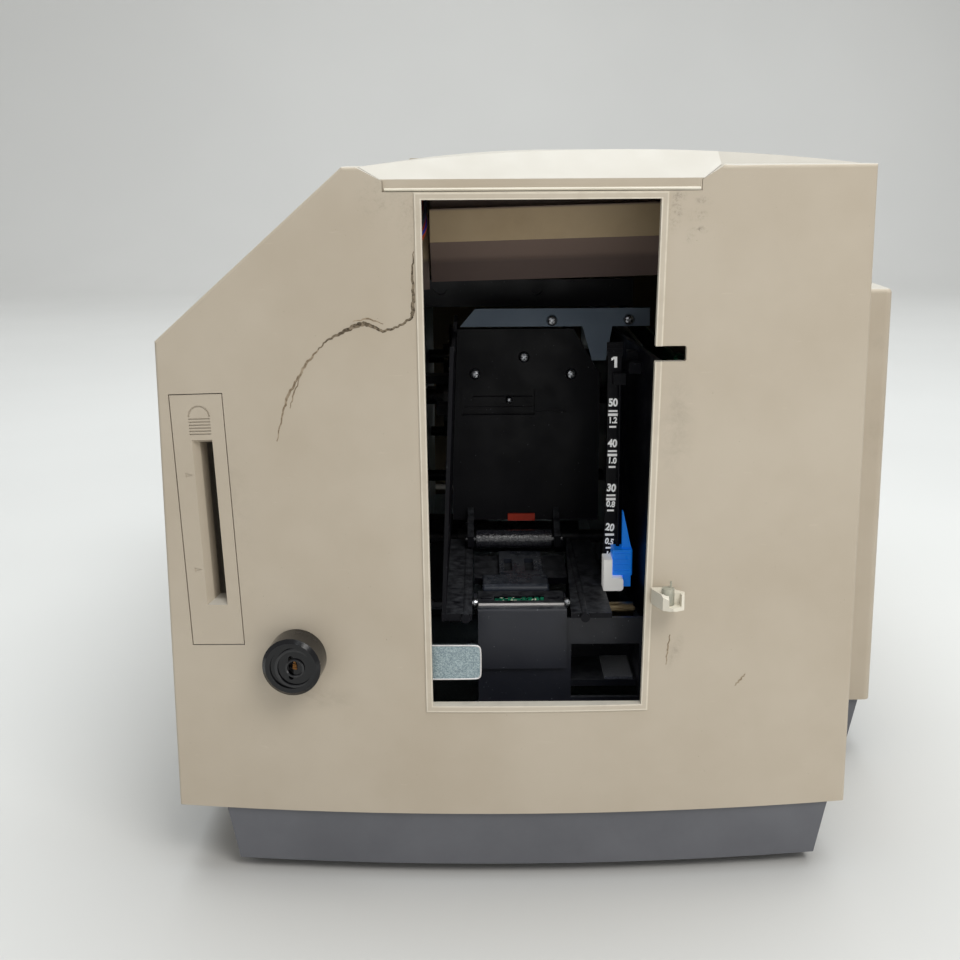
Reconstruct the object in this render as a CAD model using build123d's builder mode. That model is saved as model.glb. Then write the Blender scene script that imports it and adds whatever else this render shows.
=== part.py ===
"""Desktop plastic card printer, built as separate pieces.

Frame: +Z up, the card input end faces -Y, the operator stands on the -X side.
The origin is the centre of the bounding box, on the surface that the feet stand on.
All sizes are in millimetres.
"""
import math
import os

from build123d import *

os.makedirs("parts", exist_ok=True)

# ---------------------------------------------------------------- driving dimensions
LENGTH = 530.0  # along Y, from the hinge ear's tip to the output tray's lip
HALF_X = 137.6  # half of the overall depth
CROWN_Z = 256.0  # highest point of the arched cover
FOOT_H = 4.0  # rubber feet
BASE_TOP_Z = 26.0  # rim of the grey base tray
PANEL_TOP_Z = 251.0
PANEL_X0 = -HALF_X
PANEL_X1 = 102.4
PANEL_MID_X = (PANEL_X0 + PANEL_X1) / 2
BULGE = 9.3  # how far an end panel bows out of its edge plane
APEX_Y = 254.6  # most prominent point of either end panel
EDGE_Y = APEX_Y - BULGE
PANEL_BACK_Y = 233.0  # where the end panels meet the shells
SKIN = 3.0  # end panel wall
WALL = 2.5  # wall of the other shells
EDGE_SOFTNESS = 1.2  # radius along the end panels' outer edges
SLOPE_LOW = (PANEL_X0, 194.0)  # operator's sloped face, lower edge
SLOPE_HIGH = (-72.6, PANEL_TOP_Z)  # and its upper edge
SEAM = 0.8  # how far the shells stand inside the end panels
GAP = 0.35  # clearance between neighbouring pieces
RUN = 0.05  # radial clearance of a running fit

BULGE_R = ((PANEL_X1 - PANEL_X0) ** 2 / 4 + BULGE**2) / (2 * BULGE)

# window of the card hopper in the input end panel, a trapezium (x, z)
WINDOW = [(-45.4, 66.9), (27.3, 66.9), (30.8, 240.4), (-47.0, 240.4)]
RIM_W = 2.2  # bead round the window
RIM_PROUD = 0.5

# finger notch at the panel's top, where the cover's tongue shows
NOTCH_LOW_Z = 242.9
NOTCH_STEP_Z = 246.4  # its ends stand upright to here, then slope outwards
NOTCH_LOW = (-59.6, 44.0)
NOTCH_HIGH = (-68.5, 51.5)

# card hopper
LEDGE_TOP_Z = 94.0
LEDGE_FRONT_Y = -234.6
BACK_PLATE_Y = -135.0

# cover hinge
HINGE_X = 95.4
HINGE_Z = 244.0
HINGE_PIN_R = 2.0

# transport, as (y, z) of each shaft, its roller's radius and its pulley's radius
PICK = (-205.0, 88.0, 3.0, 6.0)
ENTRY = (-100.0, 86.0, 7.0, 8.0)
PLATEN = (40.0, 82.8, 10.0, 12.0)
EXIT = (150.0, 86.0, 7.0, 9.0)
MOTOR = (-30.0, 52.0, 2.5, 6.0)
SHAFT_R = 3.0
PULLEY_X = (-67.0, -62.0)
CHASSIS_X = (-60.0, 40.0)  # outer faces of the chassis cheeks
CHASSIS_T = 1.5
CHASSIS_Z = (28.5, 176.0)
SPOOLS = {"supply_spool": (-15.0, 136.0, 17.0), "takeup_spool": (128.0, 136.0, 12.0)}
SPOOL_PIN_R = 4.0
HEAD_PIVOT = (96.0, 120.0)

ALONG_X = (0, 90, 0)  # turns a cylinder's axis from Z to X
ALONG_Y = (90, 0, 0)  # turns a cylinder's axis from Z to -Y


# ---------------------------------------------------------------- helpers
def block(x, y, z, mode=Mode.ADD):
    """A box given by its limits along each axis."""
    centre = ((x[0] + x[1]) / 2, (y[0] + y[1]) / 2, (z[0] + z[1]) / 2)
    with Locations(centre):
        Box(x[1] - x[0], y[1] - y[0], z[1] - z[0], mode=mode)


def rod_x(x, y, z, radius, mode=Mode.ADD):
    """A cylinder along X between two x values."""
    with Locations(Location(((x[0] + x[1]) / 2, y, z), ALONG_X)):
        Cylinder(radius, x[1] - x[0], mode=mode)


def rod_y(x, y, z, radius, mode=Mode.ADD):
    """A cylinder along Y between two y values."""
    with Locations(Location((x, (y[0] + y[1]) / 2, z), ALONG_Y)):
        Cylinder(radius, y[1] - y[0], mode=mode)


def rod_z(x, y, z, radius, mode=Mode.ADD):
    """A cylinder along Z between two z values."""
    with Locations((x, y, (z[0] + z[1]) / 2)):
        Cylinder(radius, z[1] - z[0], mode=mode)


def prism(plane, points, length, mode=Mode.ADD):
    """A straight prism: an outline in the plane, extruded along its normal."""
    with BuildSketch(plane) as outline:
        Polygon(*points, align=None)
    extrude(outline.sketch, amount=length, dir=plane.z_dir, mode=mode)


def prism_x(points, x, mode=Mode.ADD):
    """Outline in (y, z), running along X."""
    prism(Plane((x[0], 0, 0), x_dir=(0, 1, 0), z_dir=(1, 0, 0)), points, x[1] - x[0], mode)


def prism_y(points, y, mode=Mode.ADD):
    """Outline in (x, z), running along Y."""
    prism(Plane((0, y[1], 0), x_dir=(1, 0, 0), z_dir=(0, -1, 0)), points, y[1] - y[0], mode)


def prism_z(points, z, mode=Mode.ADD):
    """Outline in (x, y), running along Z."""
    prism(Plane.XY.offset(z[0]), points, z[1] - z[0], mode)


def bulge_y(x):
    """Depth of the bowed panel face at x, measured from the machine's middle."""
    return APEX_Y - BULGE_R + math.sqrt(BULGE_R**2 - (x - PANEL_MID_X) ** 2)


def panel_plane(x, z, tilt=0.0):
    """Plane tangent to the input panel's face: local x right, y up, z outwards."""
    lean = math.asin((PANEL_MID_X - x) / BULGE_R)
    turn = math.radians(tilt)
    right = (math.cos(lean) * math.cos(turn), -math.sin(lean) * math.cos(turn), math.sin(turn))
    outward = (-math.sin(lean), -math.cos(lean), 0)
    return Plane((x, -bulge_y(x), z), x_dir=right, z_dir=outward)


def grown(points, by):
    """The outline moved outwards by a distance, corners kept sharp (points run anticlockwise)."""
    count = len(points)
    result = []
    for index, (x, y) in enumerate(points):
        before = points[index - 1]
        after = points[(index + 1) % count]
        first = Vector(x - before[0], y - before[1]).normalized()
        second = Vector(after[0] - x, after[1] - y).normalized()
        normal = (Vector(first.Y, -first.X) + Vector(second.Y, -second.X)).normalized()
        reach = by / (normal.X * first.Y - normal.Y * first.X)
        result.append((x + normal.X * reach, y + normal.Y * reach))
    return result


def bowed_plan(side, grow=0.0):
    """Plan of an end panel at the rim of the base: bowed face and flat back, at side * Y."""
    edge = side * (EDGE_Y + grow)
    back = side * PANEL_BACK_Y
    with BuildSketch(Plane.XY.offset(BASE_TOP_Z)) as plan:
        with BuildLine():
            ThreePointArc((PANEL_X0, edge), (PANEL_MID_X, side * (APEX_Y + grow)), (PANEL_X1, edge))
            Polyline((PANEL_X1, edge), (PANEL_X1, back), (PANEL_X0, back), (PANEL_X0, edge))
        make_face()
    return plan.sketch


def face_rim(builder, side):
    """Edges round an end panel's bowed face, apart from the one along the base."""
    rim = []
    for edge in builder.edges():
        extent = edge.bounding_box()
        innermost = min(side * extent.min.Y, side * extent.max.Y)
        if innermost > PANEL_BACK_Y + 1 and extent.max.Z > BASE_TOP_Z + 1:
            rim.append(edge)
    return rim


def finish(builder, name):
    """Label a finished piece and write its file."""
    builder.part.label = name
    export_step(builder.part, f"parts/{name}.step")


# a corner solid that takes the sloped face off the end panels
SLOPE_RUN = (SLOPE_HIGH[0] - SLOPE_LOW[0], SLOPE_HIGH[1] - SLOPE_LOW[1])
SLOPE_LEN = math.hypot(*SLOPE_RUN)
SLOPE_UP = (SLOPE_RUN[0] / SLOPE_LEN, SLOPE_RUN[1] / SLOPE_LEN)
SLOPE_OUT = (-SLOPE_UP[1], SLOPE_UP[0])
CORNER_CUT = [
    SLOPE_LOW,
    SLOPE_HIGH,
    (SLOPE_HIGH[0], PANEL_TOP_Z + 20),
    (PANEL_X0 - 20, PANEL_TOP_Z + 20),
    (PANEL_X0 - 20, SLOPE_LOW[1]),
]

# ================================================================ base and feet
BASE_RIM = 246.3  # depth of the base's rim at its front corner
with BuildPart() as base_tray:
    with BuildSketch(Plane.XY.offset(BASE_TOP_Z)):
        with BuildLine():
            ThreePointArc((-120.5, -BASE_RIM), (PANEL_MID_X, -253.1), (96.6, -244.7))
            Polyline(
                (96.6, -244.7), (96.6, -146), (133.2, -146), (133.2, 152), (96.6, 152), (96.6, 244.7)
            )
            ThreePointArc((96.6, 244.7), (PANEL_MID_X, 253.1), (-120.5, BASE_RIM))
            Line((-120.5, BASE_RIM), (-120.5, -BASE_RIM))
        make_face()
    extrude(amount=FOOT_H - BASE_TOP_Z, taper=9)
    block((-112, 88), (-236, 236), (FOOT_H + 3, BASE_TOP_Z + 1), Mode.SUBTRACT)
    block((80, 125), (-138, 144), (FOOT_H + 3, BASE_TOP_Z + 1), Mode.SUBTRACT)
    with Locations((-10, 0, 0)):
        with GridLocations(80, 380, 2, 2):
            with Locations((0, 0, (FOOT_H + CHASSIS_Z[0]) / 2)):
                Cylinder(6, CHASSIS_Z[0] - FOOT_H)
    with Locations((-10, 0, FOOT_H + 1.5)):
        with GridLocations(150, 400, 2, 2):
            Cylinder(2.25, 8, mode=Mode.SUBTRACT)
finish(base_tray, "base_tray")

with BuildPart() as rubber_feet:
    with Locations((-10, 0, FOOT_H / 2)):
        with GridLocations(170, 440, 2, 2):
            Cone(8.2, 9.5, FOOT_H)
finish(rubber_feet, "rubber_feet")

# ================================================================ input end panel
with BuildPart() as window_rim:
    extrude(bowed_plan(-1, RIM_PROUD), amount=CROWN_Z - BASE_TOP_Z, dir=(0, 0, 1))
    prism_y(grown(WINDOW, RIM_W), (-APEX_Y - 2, -APEX_Y + SKIN + 1.2), Mode.INTERSECT)

LOCK_AT = (-92.3, 84.2)
SLOT_AT = (-122.4, 132.0)
SLOT_TILT = 2.6
SLOT_PLATE = (18.3, 88.5)
LOCK_PLANE = panel_plane(*LOCK_AT)
SLOT_PLANE = panel_plane(*SLOT_AT, SLOT_TILT)

with BuildPart() as input_end_panel:
    extrude(bowed_plan(-1), amount=PANEL_TOP_Z - BASE_TOP_Z, dir=(0, 0, 1))
    prism_y(CORNER_CUT, (-APEX_Y - 5, -PANEL_BACK_Y + 5), Mode.SUBTRACT)
    fillet(face_rim(input_end_panel, -1), EDGE_SOFTNESS)
    offset(amount=-SKIN, openings=input_end_panel.faces().sort_by(Axis.Y)[-1])
    add(window_rim.part)
    prism_y(WINDOW, (-APEX_Y - 5, -PANEL_BACK_Y), Mode.SUBTRACT)
    prism_y(
        [
            (NOTCH_LOW[0], NOTCH_LOW_Z),
            (NOTCH_LOW[1], NOTCH_LOW_Z),
            (NOTCH_LOW[1], NOTCH_STEP_Z),
            (NOTCH_HIGH[1], PANEL_TOP_Z),
            (NOTCH_HIGH[1], PANEL_TOP_Z + 2),
            (NOTCH_HIGH[0], PANEL_TOP_Z + 2),
            (NOTCH_HIGH[0], PANEL_TOP_Z),
            (NOTCH_LOW[0], NOTCH_STEP_Z),
        ],
        (-APEX_Y - 5, -PANEL_BACK_Y + 5),
        Mode.SUBTRACT,
    )
    # keyhole of the door's catch, beside the window
    prism_y(
        [(24, 187.3), (39.7, 187.3), (40.2, 187.8), (40.2, 192.0), (39.7, 192.5), (24, 192.5)],
        (-APEX_Y - 5, -APEX_Y + 8),
        Mode.SUBTRACT,
    )
    with BuildSketch(SLOT_PLANE.offset(-6)):
        Rectangle(SLOT_PLATE[0] + 2 * GAP, SLOT_PLATE[1] + 2 * GAP)
    extrude(amount=12, mode=Mode.SUBTRACT)
    with BuildSketch(LOCK_PLANE.offset(-6)):
        Circle(9.0)
    extrude(amount=12, mode=Mode.SUBTRACT)
finish(input_end_panel, "input_end_panel")

# ---------------------------------------------------------------- single card slot
CARD_SLOT = (4.6, 56.0)
SLOT_SHIFT = (1.3, -0.6)
with BuildPart() as slot_insert:
    with BuildSketch(SLOT_PLANE.offset(-SKIN - 0.15)):
        Rectangle(*SLOT_PLATE)
    extrude(amount=SKIN)
    with BuildSketch(SLOT_PLANE.offset(-10)):
        with Locations(SLOT_SHIFT):
            Rectangle(CARD_SLOT[0] + 4, CARD_SLOT[1] + 4)
    extrude(amount=10 - SKIN)
    with BuildSketch(SLOT_PLANE.offset(-0.1)):
        with Locations((SLOT_SHIFT[0] - 0.4, SLOT_SHIFT[1])):
            Rectangle(7.3, 58.5)
    with BuildSketch(SLOT_PLANE.offset(-3.4)):
        with Locations(SLOT_SHIFT):
            Rectangle(*CARD_SLOT)
    loft(mode=Mode.SUBTRACT)
    with BuildSketch(SLOT_PLANE.offset(-12)):
        with Locations(SLOT_SHIFT):
            Rectangle(*CARD_SLOT)
    extrude(amount=12, mode=Mode.SUBTRACT)
    # card pictogram: an arch over six grooves
    with BuildSketch(SLOT_PLANE.offset(-0.6)):
        with Locations((0.6, 36.6)):
            Circle(3.9)
            Circle(3.3, mode=Mode.SUBTRACT)
            with Locations((0, -2)):
                Rectangle(9, 4, mode=Mode.SUBTRACT)
        for groove in range(6):
            with Locations((0.6, 35.9 - 1.05 * groove)):
                Rectangle(7.6, 0.45)
    extrude(amount=1, mode=Mode.SUBTRACT)
    # two small triangles pointing at the slot
    with BuildSketch(SLOT_PLANE.offset(-0.45)):
        for height in (16.5, -17.0):
            with Locations((-6.0, height)):
                Polygon((0, -0.8), (2.6, 0), (0, 0.8), align=None)
    extrude(amount=1, mode=Mode.SUBTRACT)
finish(slot_insert, "slot_insert")

# ---------------------------------------------------------------- cam lock
LOCK_R = 10.15
PLUG_R = 7.2
with BuildPart() as lock_barrel:
    with BuildSketch(LOCK_PLANE.offset(0.3)):
        Circle(LOCK_R)
    extrude(amount=11.7)
    chamfer(lock_barrel.edges().filter_by(GeomType.CIRCLE).sort_by(Axis.Y)[0], 1.3)
    with BuildSketch(LOCK_PLANE.offset(-17)):
        Circle(8.8)
    extrude(amount=18)
    with BuildSketch(LOCK_PLANE.offset(-20)):
        Circle(PLUG_R + RUN)
    extrude(amount=35, mode=Mode.SUBTRACT)
finish(lock_barrel, "lock_barrel")

with BuildPart() as lock_plug:
    with BuildSketch(LOCK_PLANE.offset(-17.4)):
        Circle(PLUG_R)
    extrude(amount=28.6)
    with BuildSketch(LOCK_PLANE.offset(7)):
        SlotOverall(8.5, 1.7, rotation=90)
    extrude(amount=6, mode=Mode.SUBTRACT)
finish(lock_plug, "lock_plug")

with BuildPart() as lock_cam:
    with BuildSketch(LOCK_PLANE.offset(-19.4)):
        with Locations((0, 9)):
            SlotOverall(30, 12, rotation=90)
    extrude(amount=2)
finish(lock_cam, "lock_cam")

# ---------------------------------------------------------------- broken door hinge
EAR_Z = (104.1, 109.4)
PIN_AT = (34.9, -260.2)
with BuildPart() as door_hinge_ear:
    with BuildSketch(Plane.XY.offset(EAR_Z[0])):
        with BuildLine():
            Polyline(
                (30.0, -253.5), (30.0, -255.6), (32.9, -263.0), (36.2, -LENGTH / 2), (40.2, -262.6)
            )
            Polyline((40.2, -262.6), (40.7, -258.8), (38.2, -256.6), (37.0, -253.0), (30.0, -253.5))
        make_face()
    extrude(amount=EAR_Z[1] - EAR_Z[0])
    rod_z(*PIN_AT, (EAR_Z[0] - 1, EAR_Z[1] + 1), 2.2, Mode.SUBTRACT)
    # the front of the eye is broken out, and its near edge is chipped
    block((PIN_AT[0], 39.2), (-266, PIN_AT[1]), (EAR_Z[0] + 1.3, EAR_Z[1] + 1), Mode.SUBTRACT)
    prism_x([(-266, 106.9), (-261.4, EAR_Z[1] + 0.2), (-266, EAR_Z[1] + 0.2)], (29, 36), Mode.SUBTRACT)
    prism_x([(-266, 105.2), (-264.2, 104.0), (-266, 104.0)], (29, 42), Mode.SUBTRACT)
finish(door_hinge_ear, "door_hinge_ear")

with BuildPart() as door_hinge_pin:
    rod_z(*PIN_AT, (EAR_Z[0] + 0.4, EAR_Z[1] + 1.8), 2.15)
    rod_z(PIN_AT[0] + 1.0, PIN_AT[1] + 0.5, (EAR_Z[1], EAR_Z[1] + 4.0), 0.4)
finish(door_hinge_pin, "door_hinge_pin")

# ================================================================ top cover
ARCH_OUT = [(-73.0, 250.2), (14.5, CROWN_Z), (102.2, 250.8)]
COVER_END_Y = 232.6


def arch(points, drop, floor_z, y):
    """Solid under an arch through three points, lowered by drop, down to a level floor."""
    with BuildSketch(Plane((0, y[1], 0), x_dir=(1, 0, 0), z_dir=(0, -1, 0))) as outline:
        with BuildLine():
            ThreePointArc(*[(x, z - drop) for x, z in points])
            Polyline(
                (points[2][0], points[2][1] - drop),
                (points[2][0], floor_z),
                (points[0][0], floor_z),
                (points[0][0], points[0][1] - drop),
            )
        make_face()
    return extrude(outline.sketch, amount=y[1] - y[0], dir=(0, -1, 0), mode=Mode.PRIVATE)


TONGUE_GAP = 0.15
BEVEL_RUN = 5.1
with BuildPart() as cover_tongue:
    prism_x(
        [
            (-252.0, NOTCH_LOW_Z + TONGUE_GAP),
            (-COVER_END_Y + 1, NOTCH_LOW_Z + TONGUE_GAP),
            (-COVER_END_Y + 1, CROWN_Z + 1),
            (-COVER_END_Y - 2, CROWN_Z),
            (-252.0, 246.9),
        ],
        (-80, 80),
    )
    prism_y(
        [
            (NOTCH_LOW[0] + TONGUE_GAP, NOTCH_LOW_Z),
            (NOTCH_LOW[1] - TONGUE_GAP, NOTCH_LOW_Z),
            (NOTCH_LOW[1] - TONGUE_GAP, NOTCH_STEP_Z),
            (NOTCH_HIGH[1] - 2 * TONGUE_GAP, PANEL_TOP_Z),
            (NOTCH_HIGH[1] - 2 * TONGUE_GAP, CROWN_Z + 3),
            (NOTCH_HIGH[0] + 2 * TONGUE_GAP, CROWN_Z + 3),
            (NOTCH_HIGH[0] + 2 * TONGUE_GAP, PANEL_TOP_Z),
            (NOTCH_LOW[0] + TONGUE_GAP, NOTCH_STEP_Z),
        ],
        (-260, -200),
        Mode.INTERSECT,
    )
    add(arch(ARCH_OUT, 0, 200, (-260, -200)), mode=Mode.INTERSECT)

with BuildPart() as top_cover:
    add(arch(ARCH_OUT, 0, 245.1, (-COVER_END_Y, COVER_END_Y)))
    add(
        arch([(-70.5, 250.3), (14.5, CROWN_Z), (99.7, 250.9)], WALL, 200, (-230, 230)),
        mode=Mode.SUBTRACT,
    )
    # the arch's ends are bevelled where they show above the end panels
    for side in (-1, 1):
        prism_x(
            [
                (side * COVER_END_Y, PANEL_TOP_Z - 0.1),
                (side * (COVER_END_Y - BEVEL_RUN), CROWN_Z + 0.3),
                (side * COVER_END_Y, CROWN_Z + 1),
            ],
            (-80, 110),
            Mode.SUBTRACT,
        )
    block((99.7, 102.2), (-COVER_END_Y, COVER_END_Y), (238.0, 246.0))
    add(cover_tongue.part)
    for side in (-1, 1):
        ear_y = (218.0, 222.0) if side > 0 else (-222.0, -218.0)
        pin_y = (221.0, 229.0) if side > 0 else (-229.0, -221.0)
        block((HINGE_X - 4, HINGE_X + 4), ear_y, (HINGE_Z, 249.6))
        rod_y(HINGE_X, ear_y, HINGE_Z, 4)
        rod_y(HINGE_X, pin_y, HINGE_Z, HINGE_PIN_R)
finish(top_cover, "top_cover")

# stepped duct that hangs under the cover, following its arch
LINER_X = (-45.5, 37.5)
LINER_RISE = 0.025
with BuildPart() as cover_liner:
    with BuildSketch(Plane((LINER_X[0], 0, 0), x_dir=(0, 1, 0), z_dir=(1, 0, 0))) as liner_profile:
        Polygon(
            (-207, 250.4), (-207, 236), (-217, 236), (-217, 224.5), (-209.5, 217.5), (-203.5, 209.6),
            (-160, 208.5), (-160, 210.5), (-202, 211.6), (-208, 218.6), (-215, 225.6), (-215, 234),
            (-205, 234), (-205, 250.4),
            align=None,
        )
    extrude(
        liner_profile.sketch, amount=LINER_X[1] - LINER_X[0], dir=Vector(1, 0, LINER_RISE).normalized()
    )
finish(cover_liner, "cover_liner")

WIRE_R = 0.65
WIRE_PITCH = 1.5
WIRE_ROUTE = [(-50, -186, 243), (-47.3, -210, 237), (-52, -224, 232.5), (-63, -216, 230), (-63, -160, 242)]
with BuildPart() as cover_harness:
    for wire in range(4):
        with BuildLine():
            route = FilletPolyline(*[(x, y, z - WIRE_PITCH * wire) for x, y, z in WIRE_ROUTE], radius=5)
        with BuildSketch(Plane(route @ 0, z_dir=route % 0)):
            Circle(WIRE_R)
        sweep(path=route)
finish(cover_harness, "cover_harness")

# ================================================================ operator's shell
SHELL_Y = (-PANEL_BACK_Y + 0.2, PANEL_BACK_Y - 0.2)
SHELL_X = PANEL_X0 + SEAM
LEDGE_Z = 244.8  # the cover's front edge rests just above this ledge
with BuildPart() as front_shell:
    prism_y(
        [
            (SHELL_X, BASE_TOP_Z), (-113, BASE_TOP_Z), (-113, 28.5), (SHELL_X + WALL, 28.5),
            (SHELL_X + WALL, 192.8), (-77.8, 242.3), (-66, 242.3), (-66, LEDGE_Z),
            (-73.6, LEDGE_Z), (-73.6, 249.3), (SHELL_X, 193.9),
        ],
        SHELL_Y,
    )
    SLOPE_PLANE = Plane(
        (-105.2, 0, 221.6), x_dir=(0, -1, 0), z_dir=(SLOPE_OUT[0], 0, SLOPE_OUT[1])
    )
    with BuildSketch(SLOPE_PLANE.offset(-4)):
        with Locations((40, 4)):
            Rectangle(66.2, 18.2)
        with Locations((-20, 2), (-44, 2)):
            RectangleRounded(14.2, 9.2, 2)
        with Locations((-70, 8), (-70, 0), (-70, -8)):
            Circle(2.1)
    extrude(amount=8, mode=Mode.SUBTRACT)
finish(front_shell, "front_shell")

with BuildPart() as display_window:
    with BuildSketch(SLOPE_PLANE.offset(-WALL + 0.2)):
        with Locations((40, 4)):
            Rectangle(66, 18)
    extrude(amount=WALL - 0.6)
finish(display_window, "display_window")

with BuildPart() as status_lights:
    with BuildSketch(SLOPE_PLANE.offset(-5)):
        with Locations((-70, 8), (-70, 0), (-70, -8)):
            Circle(2.0)
    extrude(amount=5.6)
    fillet(status_lights.edges().filter_by(GeomType.CIRCLE).group_by(Axis(
        (0, 0, 0), (SLOPE_OUT[0], 0, SLOPE_OUT[1])))[-1], 0.6)
finish(status_lights, "status_lights")

for button_name, button_x in (("button_select", -20), ("button_feed", -44)):
    with BuildPart() as button:
        with BuildSketch(SLOPE_PLANE.offset(-6)):
            with Locations((button_x, 2)):
                RectangleRounded(13.5, 8.5, 1.7)
        extrude(amount=7.6)
        fillet(button.faces().sort_by(Axis((0, 0, 0), (SLOPE_OUT[0], 0, SLOPE_OUT[1])))[-1].edges(), 0.6)
        with BuildSketch(SLOPE_PLANE.offset(-4.2)):
            with Locations((button_x, 2)):
                RectangleRounded(16.5, 11.5, 2)
        extrude(amount=1.3)
    finish(button, button_name)

# ================================================================ rear shell and box
REAR_TOP_Z = 234.4
with BuildPart() as rear_shell:
    block((99.1, 101.6), SHELL_Y, (BASE_TOP_Z, REAR_TOP_Z))
    block((84, 100), SHELL_Y, (BASE_TOP_Z, 28.5))
    for side in (-1, 1):
        bracket_y = (223.0, 228.0) if side > 0 else (-228.0, -223.0)
        # goosenecks that leave room for the cover's rear skirt to swing under the hinge
        prism_y([(HINGE_X, 247), (81, 247), (81, 222), (99.3, 222), (99.3, 233.5), (85.5, 233.5),
                 (85.5, 241), (HINGE_X, 241)], bracket_y)
        rod_y(HINGE_X, bracket_y, HINGE_Z, 3.9)
        rod_y(HINGE_X, bracket_y, HINGE_Z, HINGE_PIN_R + RUN, Mode.SUBTRACT)
    block((95, 105), (-20, 20), (95, 125), Mode.SUBTRACT)
finish(rear_shell, "rear_shell")

BOX_X = (101.9, HALF_X)
BOX_Y = (-148.3, 150.0)
BOX_Z = (BASE_TOP_Z, 201.0)
PORT_Z = 50.0
SWITCH_Y = 78.0
INLET_Y = 112.0
PORTS = {"wide": (-20.0, 53.0), "narrow": (-85.0, 31.0)}
ROCKER_PIVOT = (132.4, PORT_Z)
with BuildPart() as rear_box:
    block(BOX_X, BOX_Y, BOX_Z)
    fillet(rear_box.edges().filter_by(Axis.Z).group_by(Axis.X)[-1], 3)
    fillet(rear_box.edges().group_by(Axis.Z)[-1].group_by(Axis.X)[1:], 2)
    offset(amount=-WALL, openings=rear_box.faces().sort_by(Axis.X)[0])
    block((130, 140), (SWITCH_Y - 6.4, SWITCH_Y + 6.4), (PORT_Z - 10, PORT_Z + 10), Mode.SUBTRACT)
    block((130, 140), (INLET_Y - 14, INLET_Y + 14), (PORT_Z - 10.2, PORT_Z + 10.2), Mode.SUBTRACT)
    for port_y, port_w in PORTS.values():
        block((130, 140), (port_y - port_w / 2, port_y + port_w / 2), (PORT_Z - 6.5, PORT_Z + 6.5),
              Mode.SUBTRACT)
    with Locations((HALF_X - 1, -10, 165)):
        with GridLocations(1, 8, 1, 18):
            Box(8, 3, 36, mode=Mode.SUBTRACT)
    for side in (-1, 1):
        lug_y = (SWITCH_Y + 6.4, SWITCH_Y + 9.0) if side > 0 else (SWITCH_Y - 9.0, SWITCH_Y - 6.4)
        block((129.4, 135.6), lug_y, (PORT_Z - 3, PORT_Z + 3))
        rod_y(ROCKER_PIVOT[0], lug_y, ROCKER_PIVOT[1], 1.2 + RUN, Mode.SUBTRACT)
finish(rear_box, "rear_box")

with BuildPart() as rocker_switch:
    prism_y(
        [(129.6, 44.0), (134.6, 41.2), (137.5, 41.6), (135.4, 50.0), (135.6, 58.6), (134.2, 59.0),
         (129.6, 56.0)],
        (SWITCH_Y - 5.9, SWITCH_Y + 5.9),
    )
    rod_y(ROCKER_PIVOT[0], (SWITCH_Y - 8.6, SWITCH_Y + 8.6), ROCKER_PIVOT[1], 1.2)
finish(rocker_switch, "rocker_switch")

with BuildPart() as power_inlet:
    block((114, 137.3), (INLET_Y - 13.9, INLET_Y + 13.9), (PORT_Z - 10.1, PORT_Z + 10.1))
    prism_x(
        [
            (INLET_Y - 12, PORT_Z - 8.2), (INLET_Y + 12, PORT_Z - 8.2), (INLET_Y + 12, PORT_Z + 3.5),
            (INLET_Y + 7.5, PORT_Z + 8.2), (INLET_Y - 7.5, PORT_Z + 8.2), (INLET_Y - 12, PORT_Z + 3.5),
        ],
        (120, 138),
        Mode.SUBTRACT,
    )
    with Locations((126, INLET_Y - 7, PORT_Z - 2), (126, INLET_Y + 7, PORT_Z - 2),
                   (126, INLET_Y, PORT_Z + 2)):
        Box(14, 2, 4)
finish(power_inlet, "power_inlet")

with BuildPart() as data_ports:
    for port_y, port_w in PORTS.values():
        block((122, 135.0), (port_y - port_w / 2 - 6, port_y + port_w / 2 + 6),
              (PORT_Z - 6.2, PORT_Z + 6.2))
        half = port_w / 2 - 7
        shell_points = [
            (port_y - half + 1.5, PORT_Z - 4.6), (port_y + half - 1.5, PORT_Z - 4.6),
            (port_y + half, PORT_Z + 4.6), (port_y - half, PORT_Z + 4.6),
        ]
        prism_x(shell_points, (135, 137.4))
        prism_x(grown(shell_points, -0.8), (131, 138), Mode.SUBTRACT)
finish(data_ports, "data_ports")

# ================================================================ output end
OUT_WINDOW = ((-46.0, 29.0), (60.0, 128.0))
FLAP_PIVOT = (246.4, 126.4)
with BuildPart() as output_end_panel:
    extrude(bowed_plan(1), amount=PANEL_TOP_Z - BASE_TOP_Z, dir=(0, 0, 1))
    prism_y(CORNER_CUT, (PANEL_BACK_Y - 5, APEX_Y + 5), Mode.SUBTRACT)
    fillet(face_rim(output_end_panel, 1), EDGE_SOFTNESS)
    offset(amount=-SKIN, openings=output_end_panel.faces().sort_by(Axis.Y)[0])
    block(OUT_WINDOW[0], (PANEL_BACK_Y, APEX_Y + 5), OUT_WINDOW[1], Mode.SUBTRACT)
    for lug_x in ((-50.0, -46.6), (29.6, 33.0)):
        block(lug_x, (243.4, 251.0), (123.4, 129.4))
        rod_x(lug_x, *FLAP_PIVOT, 1.5 + RUN, Mode.SUBTRACT)
finish(output_end_panel, "output_end_panel")

with BuildPart() as output_flap:
    block((-45.4, 28.4), (FLAP_PIVOT[0] - 1, FLAP_PIVOT[0] + 1), (62.0, FLAP_PIVOT[1]))
    rod_x((-49.6, 32.6), *FLAP_PIVOT, 1.5)
finish(output_flap, "output_flap")

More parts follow.
